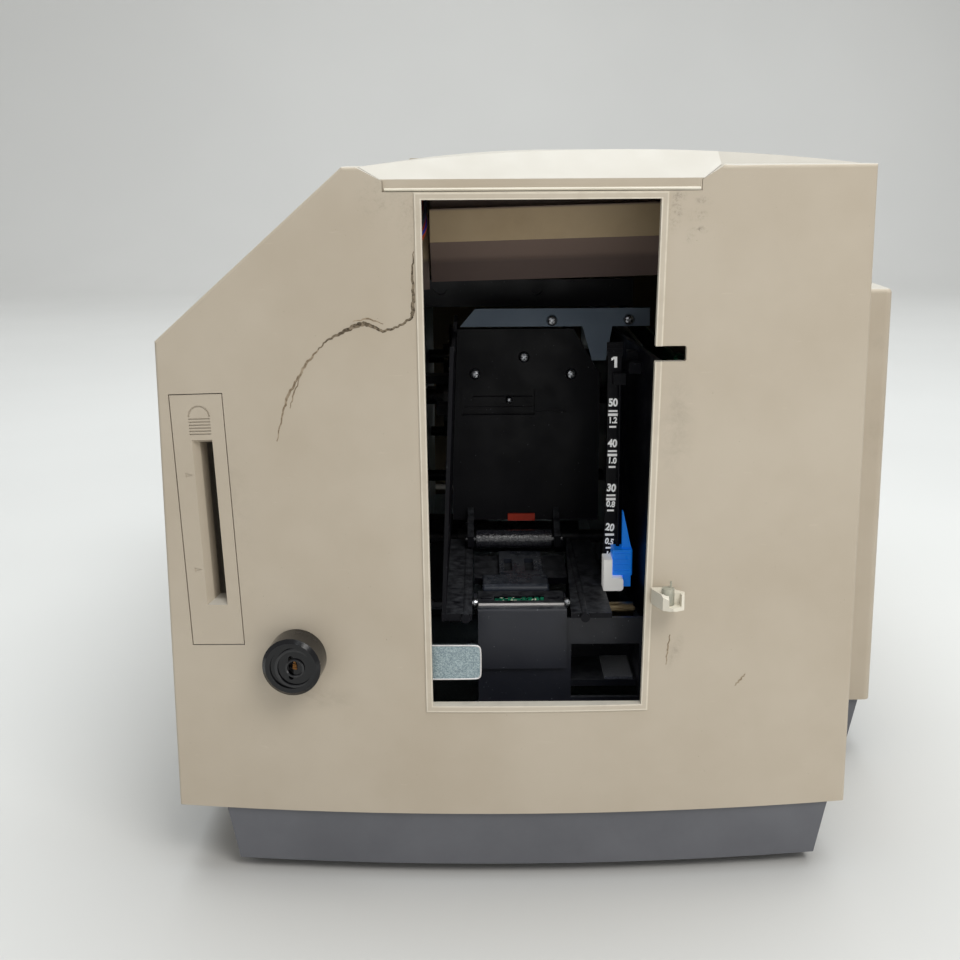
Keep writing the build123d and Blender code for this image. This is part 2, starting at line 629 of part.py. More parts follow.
TRAY_X = (-48.8, 31.8)
TRAY_Z = (48.0, 50.4)
with BuildPart() as output_tray:
    block(TRAY_X, (250, LENGTH / 2), TRAY_Z)
    for wall_x in ((TRAY_X[0], TRAY_X[0] + 2.4), (TRAY_X[1] - 2.4, TRAY_X[1])):
        block(wall_x, (250, LENGTH / 2), (TRAY_Z[0], 66.0))
    block(TRAY_X, (LENGTH / 2 - 2.2, LENGTH / 2), (TRAY_Z[0], 59.0))
    extrude(bowed_plan(1), amount=60, dir=(0, 0, 1), mode=Mode.SUBTRACT)
finish(output_tray, "output_tray")

# ================================================================ card hopper
CLEANER = (-147.0, 97.7)  # (y, z) of the cleaning roller's shaft
with BuildPart() as hopper_back_plate:
    prism_y([(-40, 103), (21.5, 103), (21.5, 165), (10.5, 184), (-40, 184)], (BACK_PLATE_Y, -131))
    block((-35.8, -5.4), (BACK_PLATE_Y - 1, BACK_PLATE_Y + 2), (148.0, 158.7), Mode.SUBTRACT)
    block((-31.0, -6.5), (BACK_PLATE_Y + 0.6, BACK_PLATE_Y + 3), (153.2, 155.6))
    block((-34.5, -6.5), (BACK_PLATE_Y + 1.2, BACK_PLATE_Y + 3), (149.4, 151.2))
    block((-5.4, 8.0), (BACK_PLATE_Y - 0.5, BACK_PLATE_Y + 1), (148.9, 149.6))
    # ears that carry the cleaning roller
    for ear_x in ((-33.8, -31.2), (2.2, 4.8)):
        prism_x([(-151, 95.3), (-143, 95.3), (BACK_PLATE_Y + 1, 104), (BACK_PLATE_Y + 1, 109),
                 (-147, 101.3), (-151, 99.8)], ear_x)
        rod_x(ear_x, *CLEANER, 1.5 + RUN, Mode.SUBTRACT)
finish(hopper_back_plate, "hopper_back_plate")

with BuildPart() as cleaning_roller:
    rod_x((-30.1, 1.0), *CLEANER, 3.9)
    rod_x((-34.6, 5.6), *CLEANER, 1.5)
finish(cleaning_roller, "cleaning_roller")

with BuildPart() as card_gate:
    block((-16.8, -5.4), (BACK_PLATE_Y - 1.2, BACK_PLATE_Y), (102.8, 105.8))
finish(card_gate, "card_gate")

FLANGE_Y = -150.0
with BuildPart() as hopper_flange:
    prism_y(
        [(-36.2, 186.8), (13.0, 186.8), (17.0, 173.0), (22.5, 173.0), (25.0, 186.8), (40.0, 186.8),
         (40.0, 194.0), (-30.1, 194.0)],
        (FLANGE_Y, FLANGE_Y + 1.5),
    )
    prism_z([(-30.1, FLANGE_Y), (40, FLANGE_Y), (40, -100), (-24, -100)], (186.8, 188.3))
finish(hopper_flange, "hopper_flange")

with BuildPart() as cross_beam:
    block((-58.5, 38.5), (-100, -88), (189.6, 201.2))
    for pocket_x, pocket_z, flip in ((-45.0, 197.4, -1), (-13.3, 191.4, 1), (-3.5, 197.4, -1)):
        with BuildSketch(Plane((0, -100, 0), x_dir=(1, 0, 0), z_dir=(0, -1, 0)).offset(-2)):
            with Locations((pocket_x, pocket_z)):
                Circle(2.7)
                with Locations((0, -flip * 2.7)):
                    Rectangle(6, 5.4, mode=Mode.SUBTRACT)
        extrude(amount=4, mode=Mode.SUBTRACT)
finish(cross_beam, "cross_beam")

PICK_Y, PICK_Z = PICK[:2]
with BuildPart() as hopper_guide_left:
    block((-42.6, -31.6), (LEDGE_FRONT_Y, -133), (91.5, LEDGE_TOP_Z))
    prism_y([(-42.6, 91), (-41.2, 91), (-37.2, 190), (-38.6, 190)], (LEDGE_FRONT_Y + 0.4, -135.4))
    prism_x([(-236, 191), (-236, 197), (-160, 197), (-160, 186), (-222, 186)], (-46, -34),
            Mode.SUBTRACT)
    rod_y(-33.9, (-236.2, -134), 92.6, 1.7)
    block((-40, -36), (PICK_Y - 5, PICK_Y + 5), (82.5, 92))
    rod_x((-41, -35), PICK_Y, PICK_Z, 1.9 + RUN, Mode.SUBTRACT)
    # notches and a small catch along the fin's edge
    block((-44.4, -39.0), (-200, -190), (160, 163.5))
    block((-50.0, -38.6), (-176, -168), (168, 171))
finish(hopper_guide_left, "hopper_guide_left")

WALL_LINE = [(25.4, -124.0), (34.6, -240.0)]
with BuildPart() as hopper_guide_right:
    prism_z([(3.9, LEDGE_FRONT_Y), (18.6, LEDGE_FRONT_Y), (18.2, -133), (7.7, -133)],
            (92.2, LEDGE_TOP_Z))
    prism_z([(3.9, -219.6), (34.0, -219.6), (27.0, -133), (7.7, -133)], (80.6, 83.0))
    block((8, 12), (-219.6, -133), (82, 93))
    prism_z([WALL_LINE[0], WALL_LINE[1], (WALL_LINE[1][0] + 1.8, -240), (WALL_LINE[0][0] + 1.8, -124)],
            (80.6, 184))
    prism_x([(-199, 175), (-185, 175), (-185, 182.2), (-192, 182.2), (-192, 179), (-199, 179)],
            (26.9, 31.5))
    block((29, 40), (-241, -219.6), (79, 88.4), Mode.SUBTRACT)
    rod_y(8.9, (-236.2, -134), 92.8, 1.7)
    rod_x((7, 13), PICK_Y, PICK_Z, 1.9 + RUN, Mode.SUBTRACT)
finish(hopper_guide_right, "hopper_guide_right")

with BuildPart() as feeder_floor:
    block((-31.0, 5.6), (-184, -152), (89.5, 92))
finish(feeder_floor, "feeder_floor")

BAR_Y = (-201.0, -185.3)
with BuildPart() as pressure_plate:
    block((-27.9, -2.4), BAR_Y, (91.6, 94.2))
    fillet(pressure_plate.edges().filter_by(Axis.X).group_by(Axis.Z)[-1], 2.0)
    fillet(pressure_plate.edges().filter_by(Axis.Z), 1.0)
    block((-21, -3.9), (BAR_Y[1] - 2, -152), (92, 93.8))
    for notch_x in ((-19.0, -15.9), (-10.9, -7.3)):
        block(notch_x, (-180, -163), (91, 96), Mode.SUBTRACT)
finish(pressure_plate, "pressure_plate")

SENSOR_Y = (-218.7, -203.0)
with BuildPart() as sensor_plate:
    block((-29.5, 2.5), SENSOR_Y, (91.4, 92.6))
    block((-29.5, 2.5), (-219.7, -218.7), (88.6, 92.9))
    block((-23.5, -4.8), (-214.8, -209.6), (91, 93), Mode.SUBTRACT)
    for boss_x in (-26.4, -1.3):
        with BuildSketch(Plane.XY.offset(92.6)):
            with Locations((boss_x, -212)):
                SlotOverall(4.2, 2.2)
        extrude(amount=0.4)
finish(sensor_plate, "sensor_plate")

SENSOR_CHIPS = [(-21.5, 1.6), (-18.4, 2.4), (-13.2, 1.5), (-10.8, 1.5), (-8.4, 1.5), (-6.2, 1.2)]  # (x, width)
with BuildPart() as sensor_board:
    block((-27, -1), (-217.6, -208.6), (89.2, 90.8))
    block((-23.2, -5.1), (-214.5, -209.9), (90.5, 91.9))
    for chip_x, chip_w in SENSOR_CHIPS:
        block((chip_x, chip_x + chip_w), (-213.4, -211.4), (91.9, 92.8))
finish(sensor_board, "sensor_board")

COVER_FACE_Y = -222.0
with BuildPart() as feeder_front_cover:
    prism_y([(-29.5, 30.0), (36, 30.0), (36, 88), (3, 88), (3, 92.3), (-29.5, 92.3)],
            (COVER_FACE_Y, COVER_FACE_Y + 2))
    block((-29.5, 3.0), (COVER_FACE_Y - 2, COVER_FACE_Y), (69.2, 92.3))
    fillet(feeder_front_cover.edges().filter_by(Axis.X).group_by(Axis.Y)[0].sort_by(Axis.Z)[-1], 1.2)
    block((4.8, 30.0), (COVER_FACE_Y - 5, COVER_FACE_Y + 5), (57.0, 78.0), Mode.SUBTRACT)
    block((4.8, 32.0), (-212, -184), (57.6, 60.0))
    block((30.0, 32.0), (COVER_FACE_Y, -184), (57.6, 79.0))
    block((-29.5, -27.5), (COVER_FACE_Y, -196), (30.0, 80))
    block((4.8, 32.0), (-186, -184), (57.6, 79.0))
finish(feeder_front_cover, "feeder_front_cover")

with BuildPart() as shelf_pad:
    block((18.3, 28.9), (-211, -187.5), (60.0, 60.9))
finish(shelf_pad, "shelf_pad")

with BuildPart() as latch_bracket:
    with BuildSketch(Plane((0, -246, 0), x_dir=(1, 0, 0), z_dir=(0, -1, 0))):
        with Locations((-45.2, 80.3)):
            Rectangle(33.6, 13.0)
    extrude(amount=1.2)
    fillet(latch_bracket.edges().filter_by(Axis.Y).group_by(Axis.X)[-1], 2.6)
    block((-62, -47.5), (-247.2, -239), (85.6, 86.8))
    block((-62, -60.8), (-247.2, -226), (73.8, 86.8))
finish(latch_bracket, "latch_bracket")

# ---------------------------------------------------------------- card thickness selector
STRIP_Y = (-196.6, -195.4)
RAIL = (23.6, -199.6)
RAIL_R = 0.7
with BuildPart() as thickness_scale:
    prism_y([(17.9, 97), (24.3, 97), (24.3, 186.4), (19.2, 186.4), (19.2, 140), (18.6, 115)], STRIP_Y)
    block((18.8, 24.7), (STRIP_Y[0] - 0.8, STRIP_Y[1]), (181.2, 186.4))
    for rib in range(3):
        block((18.8, 24.7), (STRIP_Y[0] - 1.2, STRIP_Y[0]), (182.2 + 1.4 * rib, 182.9 + 1.4 * rib))
    block((21.0, 25.6), (-200.4, STRIP_Y[0] + 0.2), (171.0, 175.0))
    block((19.2, 25.4), (STRIP_Y[0], -140), (83.0, 84.2))
    block((19.2, 24.3), STRIP_Y, (83.0, 98.0))
finish(thickness_scale, "thickness_scale")

with BuildPart() as slide_rail:
    rod_z(*RAIL, (84.2, 171.0), RAIL_R)
finish(slide_rail, "slide_rail")

with BuildPart() as thickness_slider:
    block((21.1, 28.6), (-206.0, -197.4), (99.5, 109.2))
    fillet(thickness_slider.edges().filter_by(Axis.Z), 0.6)
    for rib in range(4):
        block((21.6, 28.1), (-206.3, -205.5), (100.6 + 2.2 * rib, 101.4 + 2.2 * rib))
    block((25.2, 28.2), (-204.5, -199.0), (94.6, 100.0))
    prism_y([(24.9, 109.0), (28.4, 109.0), (25.2, 123.6), (24.9, 123.6)], (-203.6, -201.0))
    rod_z(*RAIL, (90, 130), RAIL_R + RUN, Mode.SUBTRACT)
finish(thickness_slider, "thickness_slider")

with BuildPart() as slider_foot:
    block((17.6, 20.8), (-209.5, -200.9), (94.4, 106.5))
    block((17.6, 25.0), (-209.5, -200.9), (94.4, 99.3))
    fillet(slider_foot.edges().filter_by(Axis.Y).group_by(Axis.X)[-1], 1.2)
finish(slider_foot, "slider_foot")

with BuildPart() as pivot_shaft:
    rod_x((19.6, 28.6), -210.5, 87.6, 2.8)
    rod_x((18.6, 29.4), -210.5, 87.6, 1.2)
    block((21.0, 27.0), (-212.5, -208.5), (83.0, 86.0))
finish(pivot_shaft, "pivot_shaft")

SCREWS = [
    (-10.0, BACK_PLATE_Y, 172.4, 2.3), (-30.3, BACK_PLATE_Y, 165.4, 2.3),
    (9.5, BACK_PLATE_Y, 165.2, 2.3), (-16.2, BACK_PLATE_Y + 0.6, 154.4, 1.5),
    (0.7, FLANGE_Y, 189.2, 2.2), (31.6, FLANGE_Y, 189.4, 2.2),
]
with BuildPart() as hopper_screws:
    for screw_x, screw_y, screw_z, screw_r in SCREWS:
        with Locations(Location((screw_x, screw_y, screw_z), ALONG_Y)):
            Cylinder(screw_r, 1.0, align=(Align.CENTER, Align.CENTER, Align.MIN))
        with Locations(Location((screw_x, screw_y - 1.0, screw_z), ALONG_Y)):
            Cone(screw_r, screw_r * 0.6, 0.7, align=(Align.CENTER, Align.CENTER, Align.MIN))
        for size in ((screw_r * 1.1, 0.5), (0.5, screw_r * 1.1)):
            with Locations((screw_x, screw_y - 1.5, screw_z)):
                Box(size[0], 1.2, size[1], mode=Mode.SUBTRACT)
finish(hopper_screws, "hopper_screws")

# ================================================================ chassis and card transport
CHASSIS_Y = (-130.0, 215.0)
CHEEKS = (
    (CHASSIS_X[0], CHASSIS_X[0] + CHASSIS_T),
    (CHASSIS_X[1] - CHASSIS_T, CHASSIS_X[1]),
)
with BuildPart() as chassis:
    block(CHASSIS_X, (-215.0, CHASSIS_Y[1]), (CHASSIS_Z[0], CHASSIS_Z[0] + CHASSIS_T))
    for cheek in CHEEKS:
        block(cheek, CHASSIS_Y, CHASSIS_Z)
        for hole_y, hole_z, hole_r in (
            (ENTRY[0], ENTRY[1], SHAFT_R),
            (PLATEN[0], PLATEN[1], SHAFT_R),
            (EXIT[0], EXIT[1], SHAFT_R),
            (*HEAD_PIVOT, SHAFT_R),
            *[(spool[0], spool[1], SPOOL_PIN_R) for spool in SPOOLS.values()],
        ):
            rod_x((cheek[0] - 1, cheek[1] + 1), hole_y, hole_z, hole_r + RUN, Mode.SUBTRACT)
    rod_x((CHEEKS[0][0] - 1, CHEEKS[0][1] + 1), MOTOR[0], MOTOR[1], 11.2, Mode.SUBTRACT)
finish(chassis, "chassis")

# driven rollers: rubber tyre, steel shaft and belt pulley in one piece each
for roller_name, roller in (("entry_roller", ENTRY), ("platen_roller", PLATEN), ("exit_roller", EXIT)):
    with BuildPart() as driven_roller:
        rod_x((-38.5, 15.5), roller[0], roller[1], roller[2])
        rod_x((PULLEY_X[0], CHASSIS_X[1] + 3), roller[0], roller[1], SHAFT_R)
        rod_x(PULLEY_X, roller[0], roller[1], roller[3])
    finish(driven_roller, roller_name)

with BuildPart() as pick_roller:
    rod_x((PULLEY_X[0], 13.0), PICK_Y, PICK_Z, 1.9)
    rod_x((-24, -2), PICK_Y, PICK_Z, PICK[2])
    rod_x((-31.1, -29.9), PICK_Y, PICK_Z, 4.2)
    rod_x((2.9, 3.5), PICK_Y, PICK_Z, 4.2)
    rod_x(PULLEY_X, PICK_Y, PICK_Z, PICK[3])
finish(pick_roller, "pick_roller")

MOTOR_SIZE = 42.3
with BuildPart() as drive_motor:
    block(
        (CHEEKS[0][1], -24.0),
        (MOTOR[0] - MOTOR_SIZE / 2, MOTOR[0] + MOTOR_SIZE / 2),
        (MOTOR[1] - 20.0, MOTOR[1] + 22.3),
    )
    chamfer(drive_motor.edges().filter_by(Axis.X), 3.5)
    rod_x((CHASSIS_X[0] - 0.4, -57), MOTOR[0], MOTOR[1], 11.0)
    rod_x((CHASSIS_X[0] - 1, -50), MOTOR[0], MOTOR[1], MOTOR[2] + RUN, Mode.SUBTRACT)
finish(drive_motor, "drive_motor")

with BuildPart() as motor_pulley:
    rod_x(PULLEY_X, MOTOR[0], MOTOR[1], MOTOR[3])
    rod_x((PULLEY_X[1] - 1, -50.5), MOTOR[0], MOTOR[1], MOTOR[2])
finish(motor_pulley, "motor_pulley")

BELT_T = 1.4
BELT_GAP = 0.3


def belt_loop(clearance):
    """Region inside a belt that runs round every pulley at a clearance."""
    with BuildSketch(Plane((PULLEY_X[0] + 0.5, 0, 0), x_dir=(0, 1, 0), z_dir=(1, 0, 0))) as loop:
        for pulley in (PICK, ENTRY, PLATEN, EXIT, MOTOR):
            with Locations((pulley[0], pulley[1])):
                Circle(pulley[3] + clearance)
        make_hull()
    return loop.sketch


with BuildPart() as drive_belt:
    extrude(belt_loop(BELT_GAP + BELT_T), amount=4)
    extrude(belt_loop(BELT_GAP), amount=4, mode=Mode.SUBTRACT)
finish(drive_belt, "drive_belt")

# ================================================================ print head and ribbon
with BuildPart() as print_head_arm:
    prism_x(
        [
            (HEAD_PIVOT[0] + 7, 113), (HEAD_PIVOT[0] + 7, 126.5), (34, 126.5), (31, 121), (31, 110.4),
            (48, 110.4), (52, 113),
        ],
        (-37, 14),
    )
    block((-30, 7), (52, 84), (116, 130), Mode.SUBTRACT)
    rod_x((CHASSIS_X[0] - 0.6, CHASSIS_X[1] + 0.6), *HEAD_PIVOT, SHAFT_R)
finish(print_head_arm, "print_head_arm")

with BuildPart() as print_head:
    block((-39, 16), (33, 47), (97.0, 110.4))
    prism_x([(36, 97.2), (38.4, 93.3), (41.6, 93.3), (44, 97.2)], (-38, 15))
finish(print_head, "print_head")

for spool_name, (spool_y, spool_z, spool_r) in SPOOLS.items():
    with BuildPart() as spool:
        rod_x((CHASSIS_X[0] - 0.6, CHASSIS_X[1] + 0.6), spool_y, spool_z, SPOOL_PIN_R)
        rod_x((-50, 30), spool_y, spool_z, 7)
        rod_x((-43, 20), spool_y, spool_z, spool_r)
        for rim_x in ((-46, -44), (21, 23)):
            rod_x(rim_x, spool_y, spool_z, 19)
    finish(spool, spool_name)

# ================================================================ electronics
with BuildPart() as main_board:
    block((54, 55.6), (-120, 120), (45, 170))
    for part_y, part_z, part_w, part_h, part_t in (
        (-80, 120, 28, 28, 3.4), (-30, 110, 34, 14, 4), (20, 130, 20, 20, 3), (60, 70, 50, 9, 9),
        (-90, 62, 40, 9, 9), (95, 140, 14, 34, 12), (0, 70, 16, 16, 3),
    ):
        block((55.6, 55.6 + part_t), (part_y - part_w / 2, part_y + part_w / 2),
              (part_z - part_h / 2, part_z + part_h / 2))
    for can_y, can_z in ((-40, 152), (-20, 152), (60, 100), (78, 100)):
        rod_x((55.6, 72), can_y, can_z, 6)
    with Locations((47, 0, 107.5)):
        with GridLocations(0.001, 220, 1, 2):
            with Locations(Location((0, 0, -55), ALONG_X), Location((0, 0, 55), ALONG_X)):
                Cylinder(3, 14)
finish(main_board, "main_board")

with BuildPart() as power_supply:
    block((102.2, 104), (-130, 60), (72, 194))
    block((104, 131), (-110, -62), (90, 150))
    block((104, 128), (-40, -8), (84, 116))
    block((104, 116), (10, 52), (80, 186))
    for can_y, can_z in ((-44, 160), (-18, 160)):
        rod_x((104, 132), can_y, can_z, 11)
finish(power_supply, "power_supply")
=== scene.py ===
"""Looks for the card printer: materials, wear, small pieces, light and camera.

The scene is in metres, in the CAD's frame. The functions that draw small pieces take
millimetres, and so do the sizes of noise, cells, spots and bumps.
"""

import math

import bmesh
import bpy
from mathutils import Matrix, Vector
from mathutils.bvhtree import BVHTree


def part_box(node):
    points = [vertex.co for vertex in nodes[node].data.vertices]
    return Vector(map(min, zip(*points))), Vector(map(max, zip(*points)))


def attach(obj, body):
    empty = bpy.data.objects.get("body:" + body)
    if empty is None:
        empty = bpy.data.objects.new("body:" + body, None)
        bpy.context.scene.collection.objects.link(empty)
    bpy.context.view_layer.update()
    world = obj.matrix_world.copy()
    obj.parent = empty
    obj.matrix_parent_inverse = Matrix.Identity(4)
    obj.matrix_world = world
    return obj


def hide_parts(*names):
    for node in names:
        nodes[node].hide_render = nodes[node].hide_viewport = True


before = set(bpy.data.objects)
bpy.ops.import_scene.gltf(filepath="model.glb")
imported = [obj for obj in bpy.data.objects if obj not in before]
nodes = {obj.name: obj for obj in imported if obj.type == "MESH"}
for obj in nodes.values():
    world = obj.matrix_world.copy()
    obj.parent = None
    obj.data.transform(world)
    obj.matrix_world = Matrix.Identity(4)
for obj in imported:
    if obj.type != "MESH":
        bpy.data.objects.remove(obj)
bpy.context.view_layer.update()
MM = 0.001
scene = bpy.context.scene


def linear(code):
    """Linear colour from a hex sRGB code."""
    out = []
    for i in (0, 2, 4):
        c = int(code[i:i + 2], 16) / 255
        out.append(c / 12.92 if c <= 0.04045 else ((c + 0.055) / 1.055) ** 2.4)
    return (*out, 1.0)


# ------------------------------------------------------------------ materials
class Shader:
    """A Principled material whose inputs are built from small node chains."""

    def __init__(self, name, **fixed):
        self.mat = bpy.data.materials.new(name)
        self.mat.use_nodes = True
        self.tree = self.mat.node_tree
        self.bsdf = self.tree.nodes["Principled BSDF"]
        self.coord = self.tree.nodes.new("ShaderNodeTexCoord").outputs["Object"]
        for socket, value in fixed.items():
            self.bsdf.inputs[socket.replace("_", " ")].default_value = value

    def node(self, kind, **values):
        n = self.tree.nodes.new(kind)
        for key, value in values.items():
            setattr(n, key, value)
        return n

    def link(self, out, socket):
        self.tree.links.new(out, socket)

    def noise(self, size, detail=4.0, rough=0.6, stretch=(1, 1, 1), warp=0.0):
        """Noise whose features are about size millimetres across."""
        mapping = self.node("ShaderNodeMapping")
        mapping.inputs["Scale"].default_value = stretch
        self.link(self.coord, mapping.inputs["Vector"])
        tex = self.node("ShaderNodeTexNoise")
        tex.inputs["Scale"].default_value = 1 / (size * MM)
        tex.inputs["Detail"].default_value = detail
        tex.inputs["Roughness"].default_value = rough
        tex.inputs["Distortion"].default_value = warp
        self.link(mapping.outputs[0], tex.inputs["Vector"])
        return tex.outputs["Fac"]

    def cells(self, size, feature="F1", out="Distance"):
        """Cells about size millimetres across: distance to their middle, or a colour each."""
        tex = self.node("ShaderNodeTexVoronoi", feature=feature)
        tex.inputs["Scale"].default_value = 1 / (size * MM)
        self.link(self.coord, tex.inputs["Vector"])
        return tex.outputs[out]

    def span(self, value, low, high, to_low=0.0, to_high=1.0):
        """Takes the range low..high smoothly to to_low..to_high."""
        n = self.node("ShaderNodeMapRange", interpolation_type="SMOOTHSTEP")
        n.inputs["From Min"].default_value = low
        n.inputs["From Max"].default_value = high
        n.inputs["To Min"].default_value = to_low
        n.inputs["To Max"].default_value = to_high
        self.link(value, n.inputs["Value"])
        return n.outputs[0]

    def math(self, op, a, b):
        n = self.node("ShaderNodeMath", operation=op)
        for i, value in enumerate((a, b)):
            if isinstance(value, (int, float)):
                n.inputs[i].default_value = value
            else:
                self.link(value, n.inputs[i])
        return n.outputs[0]

    def mix(self, fac, a, b):
        """Colour a where fac is 0, b where it is 1."""
        n = self.node("ShaderNodeMix", data_type="RGBA")
        for index, value in ((0, fac), (6, a), (7, b)):
            if isinstance(value, (int, float, tuple)):
                n.inputs[index].default_value = value
            else:
                self.link(value, n.inputs[index])
        return n.outputs[2]

    def axis(self, name):
        """One of a point's coordinates in metres: X, Y or Z."""
        n = self.node("ShaderNodeSeparateXYZ")
        self.link(self.coord, n.inputs[0])
        return n.outputs[name]

    def facing(self, name):
        """One part of the surface's outward direction: X, Y or Z."""
        geometry = self.node("ShaderNodeNewGeometry")
        split = self.node("ShaderNodeSeparateXYZ")
        self.link(geometry.outputs["Normal"], split.inputs[0])
        return split.outputs[name]

    def spot(self, x, z, reach, stretch=(1.0, 1.0), lean=0.0):
        """1 at (x, z) on an end face, falling to 0 at reach times stretch, in millimetres."""
        mapping = self.node("ShaderNodeMapping", vector_type="TEXTURE")
        mapping.inputs["Location"].default_value = (x * MM, 0, z * MM)
        mapping.inputs["Rotation"].default_value = (0, math.radians(lean), 0)
        mapping.inputs["Scale"].default_value = (stretch[0], 1e3, stretch[1])
        self.link(self.coord, mapping.inputs["Vector"])
        length = self.node("ShaderNodeVectorMath", operation="LENGTH")
        self.link(mapping.outputs[0], length.inputs[0])
        return self.span(length.outputs["Value"], 0.0, reach * MM, 1.0, 0.0)

    def outside(self, corners):
        """Distance in metres outside an outline of (x, z) corners in millimetres, clockwise."""
        far = None
        for (x0, z0), (x1, z1) in zip(corners, corners[1:] + corners[:1]):
            run = Vector((x1 - x0, z1 - z0)).normalized()
            dot = self.node("ShaderNodeVectorMath", operation="DOT_PRODUCT")
            self.link(self.coord, dot.inputs[0])
            dot.inputs[1].default_value = (-run.y, 0, run.x)
            away = self.math("SUBTRACT", dot.outputs["Value"], (-run.y * x0 + run.x * z0) * MM)
            far = away if far is None else self.math("MAXIMUM", far, away)
        return far

    def edge(self, low=0.52, high=0.6):
        """1 on sharp outer edges, 0 elsewhere."""
        geometry = self.node("ShaderNodeNewGeometry")
        return self.span(geometry.outputs["Pointiness"], low, high)

    def colour(self, value):
        self.link(value, self.bsdf.inputs["Base Color"])

    def rough(self, value):
        self.link(value, self.bsdf.inputs["Roughness"])

    def bump(self, *layers):
        """Layers are (height, depth in millimetres)."""
        normal = None
        for height, depth in layers:
            n = self.node("ShaderNodeBump")
            n.inputs["Strength"].default_value = 1.0
            n.inputs["Distance"].default_value = depth * MM
            self.link(height, n.inputs["Height"])
            if normal is not None:
                self.link(normal, n.inputs["Normal"])
            normal = n.outputs[0]
        self.link(normal, self.bsdf.inputs["Normal"])

    def dust(self, colour, amount=0.72, tint="8a8d92", size=0.9):
        """Small light specks, and a faint film of dust on faces that look up."""
        speck = self.span(self.noise(size, 2.0, 0.5), amount, amount + 0.05)
        film = self.span(self.facing("Z"), 0.6, 1.0, 0.0, 0.34)
        film = self.math("MULTIPLY", film, self.span(self.noise(3.5, 6, 0.75), 0.3, 0.75))
        return self.mix(self.math("MAXIMUM", self.math("MULTIPLY", speck, 0.55), film), colour,
                        linear(tint))


def moulded(name, code, dark, grain=0.45, depth=0.012, gloss=(0.42, 0.6), dusty=False, shine=0.4):
    """Moulded plastic: cloudy colour, fine mould grain and uneven gloss."""
    s = Shader(name, Specular_IOR_Level=shine)
    colour = s.mix(s.span(s.noise(38, 5), 0.3, 0.75), linear(code), linear(dark))
    if dusty:
        colour = s.dust(colour)
    s.colour(colour)
    s.rough(s.span(s.noise(14, 4), 0.3, 0.7, *gloss))
    s.bump((s.noise(grain, 3, 0.7), depth), (s.noise(45, 2), 0.05))
    return s.mat


def shell_beige(name="shell_beige", level=0.75):
    """Aged beige plastic; faces whose normal rises above level get a painted tint of the cool overhead
    light, less yellow.
    """
    s = Shader(name, Specular_IOR_Level=0.35)
    colour = s.mix(s.span(s.noise(60, 4), 0.3, 0.75), linear("b8ad9c"), linear("b0a492"))
    grime = s.span(s.noise(22, 6, 0.7), 0.56, 0.8, 0.0, 0.16)
    colour = s.mix(grime, colour, linear("776d5e"))
    # painted light: faces that look up take a cooler, less yellow tint of the overhead light
    colour = s.mix(s.span(s.facing("Z"), level, level + 0.2, 0.0, 0.7), colour, linear("b5b2aa"))
    s.colour(s.mix(s.span(s.noise(0.8, 2), 0.76, 0.8, 0.0, 0.35), colour, linear("6a5f50")))
    s.rough(s.span(s.noise(18, 5), 0.3, 0.7, 0.46, 0.62))
    s.bump((s.noise(0.5, 3, 0.75), 0.014), (s.noise(70, 2), 0.12))
    return s.mat


# corners (x, z) of the end panel's window, clockwise as seen from -Y
WINDOW = [(-45.4, 66.9), (-47.0, 240.4), (30.8, 240.4), (27.3, 66.9)]
# stains on the end panel: x, z, reach, stretch, lean and strength
STAINS = [
    (35.9, 239.4, 5.0, (0.8, 2.6), 8, 0.7),
    (42.7, 235.0, 4.2, (1.2, 0.7), 0, 0.62),
    (43.4, 230.2, 4.0, (1.3, 0.4), -8, 0.75),
    (40.4, 228.0, 3.6, (0.6, 1.2), 20, 0.5),
    (44.4, 239.6, 3.6, (1.2, 0.6), 0, 0.5),
    (39.0, 86.0, 9.0, (0.35, 1.2), 14, 0.4),
    (37.5, 165.0, 12.0, (0.7, 2.2), 0, 0.25),
    (-60.0, 241.0, 12.0, (1.0, 1.0), 0, 0.18),
    (-50.5, 235.0, 9.0, (0.7, 2.0), 0, 0.2),
    (-85.0, 69.0, 8.0, (2.4, 0.7), 0, 0.22),
    (-92.3, 84.0, 17.0, (1.0, 1.0), 0, 0.25),
    (-113.0, 131.0, 14.0, (0.8, 3.0), 0, 0.12),
]
TOP_STAINS = 227  # stains above this height are finely speckled


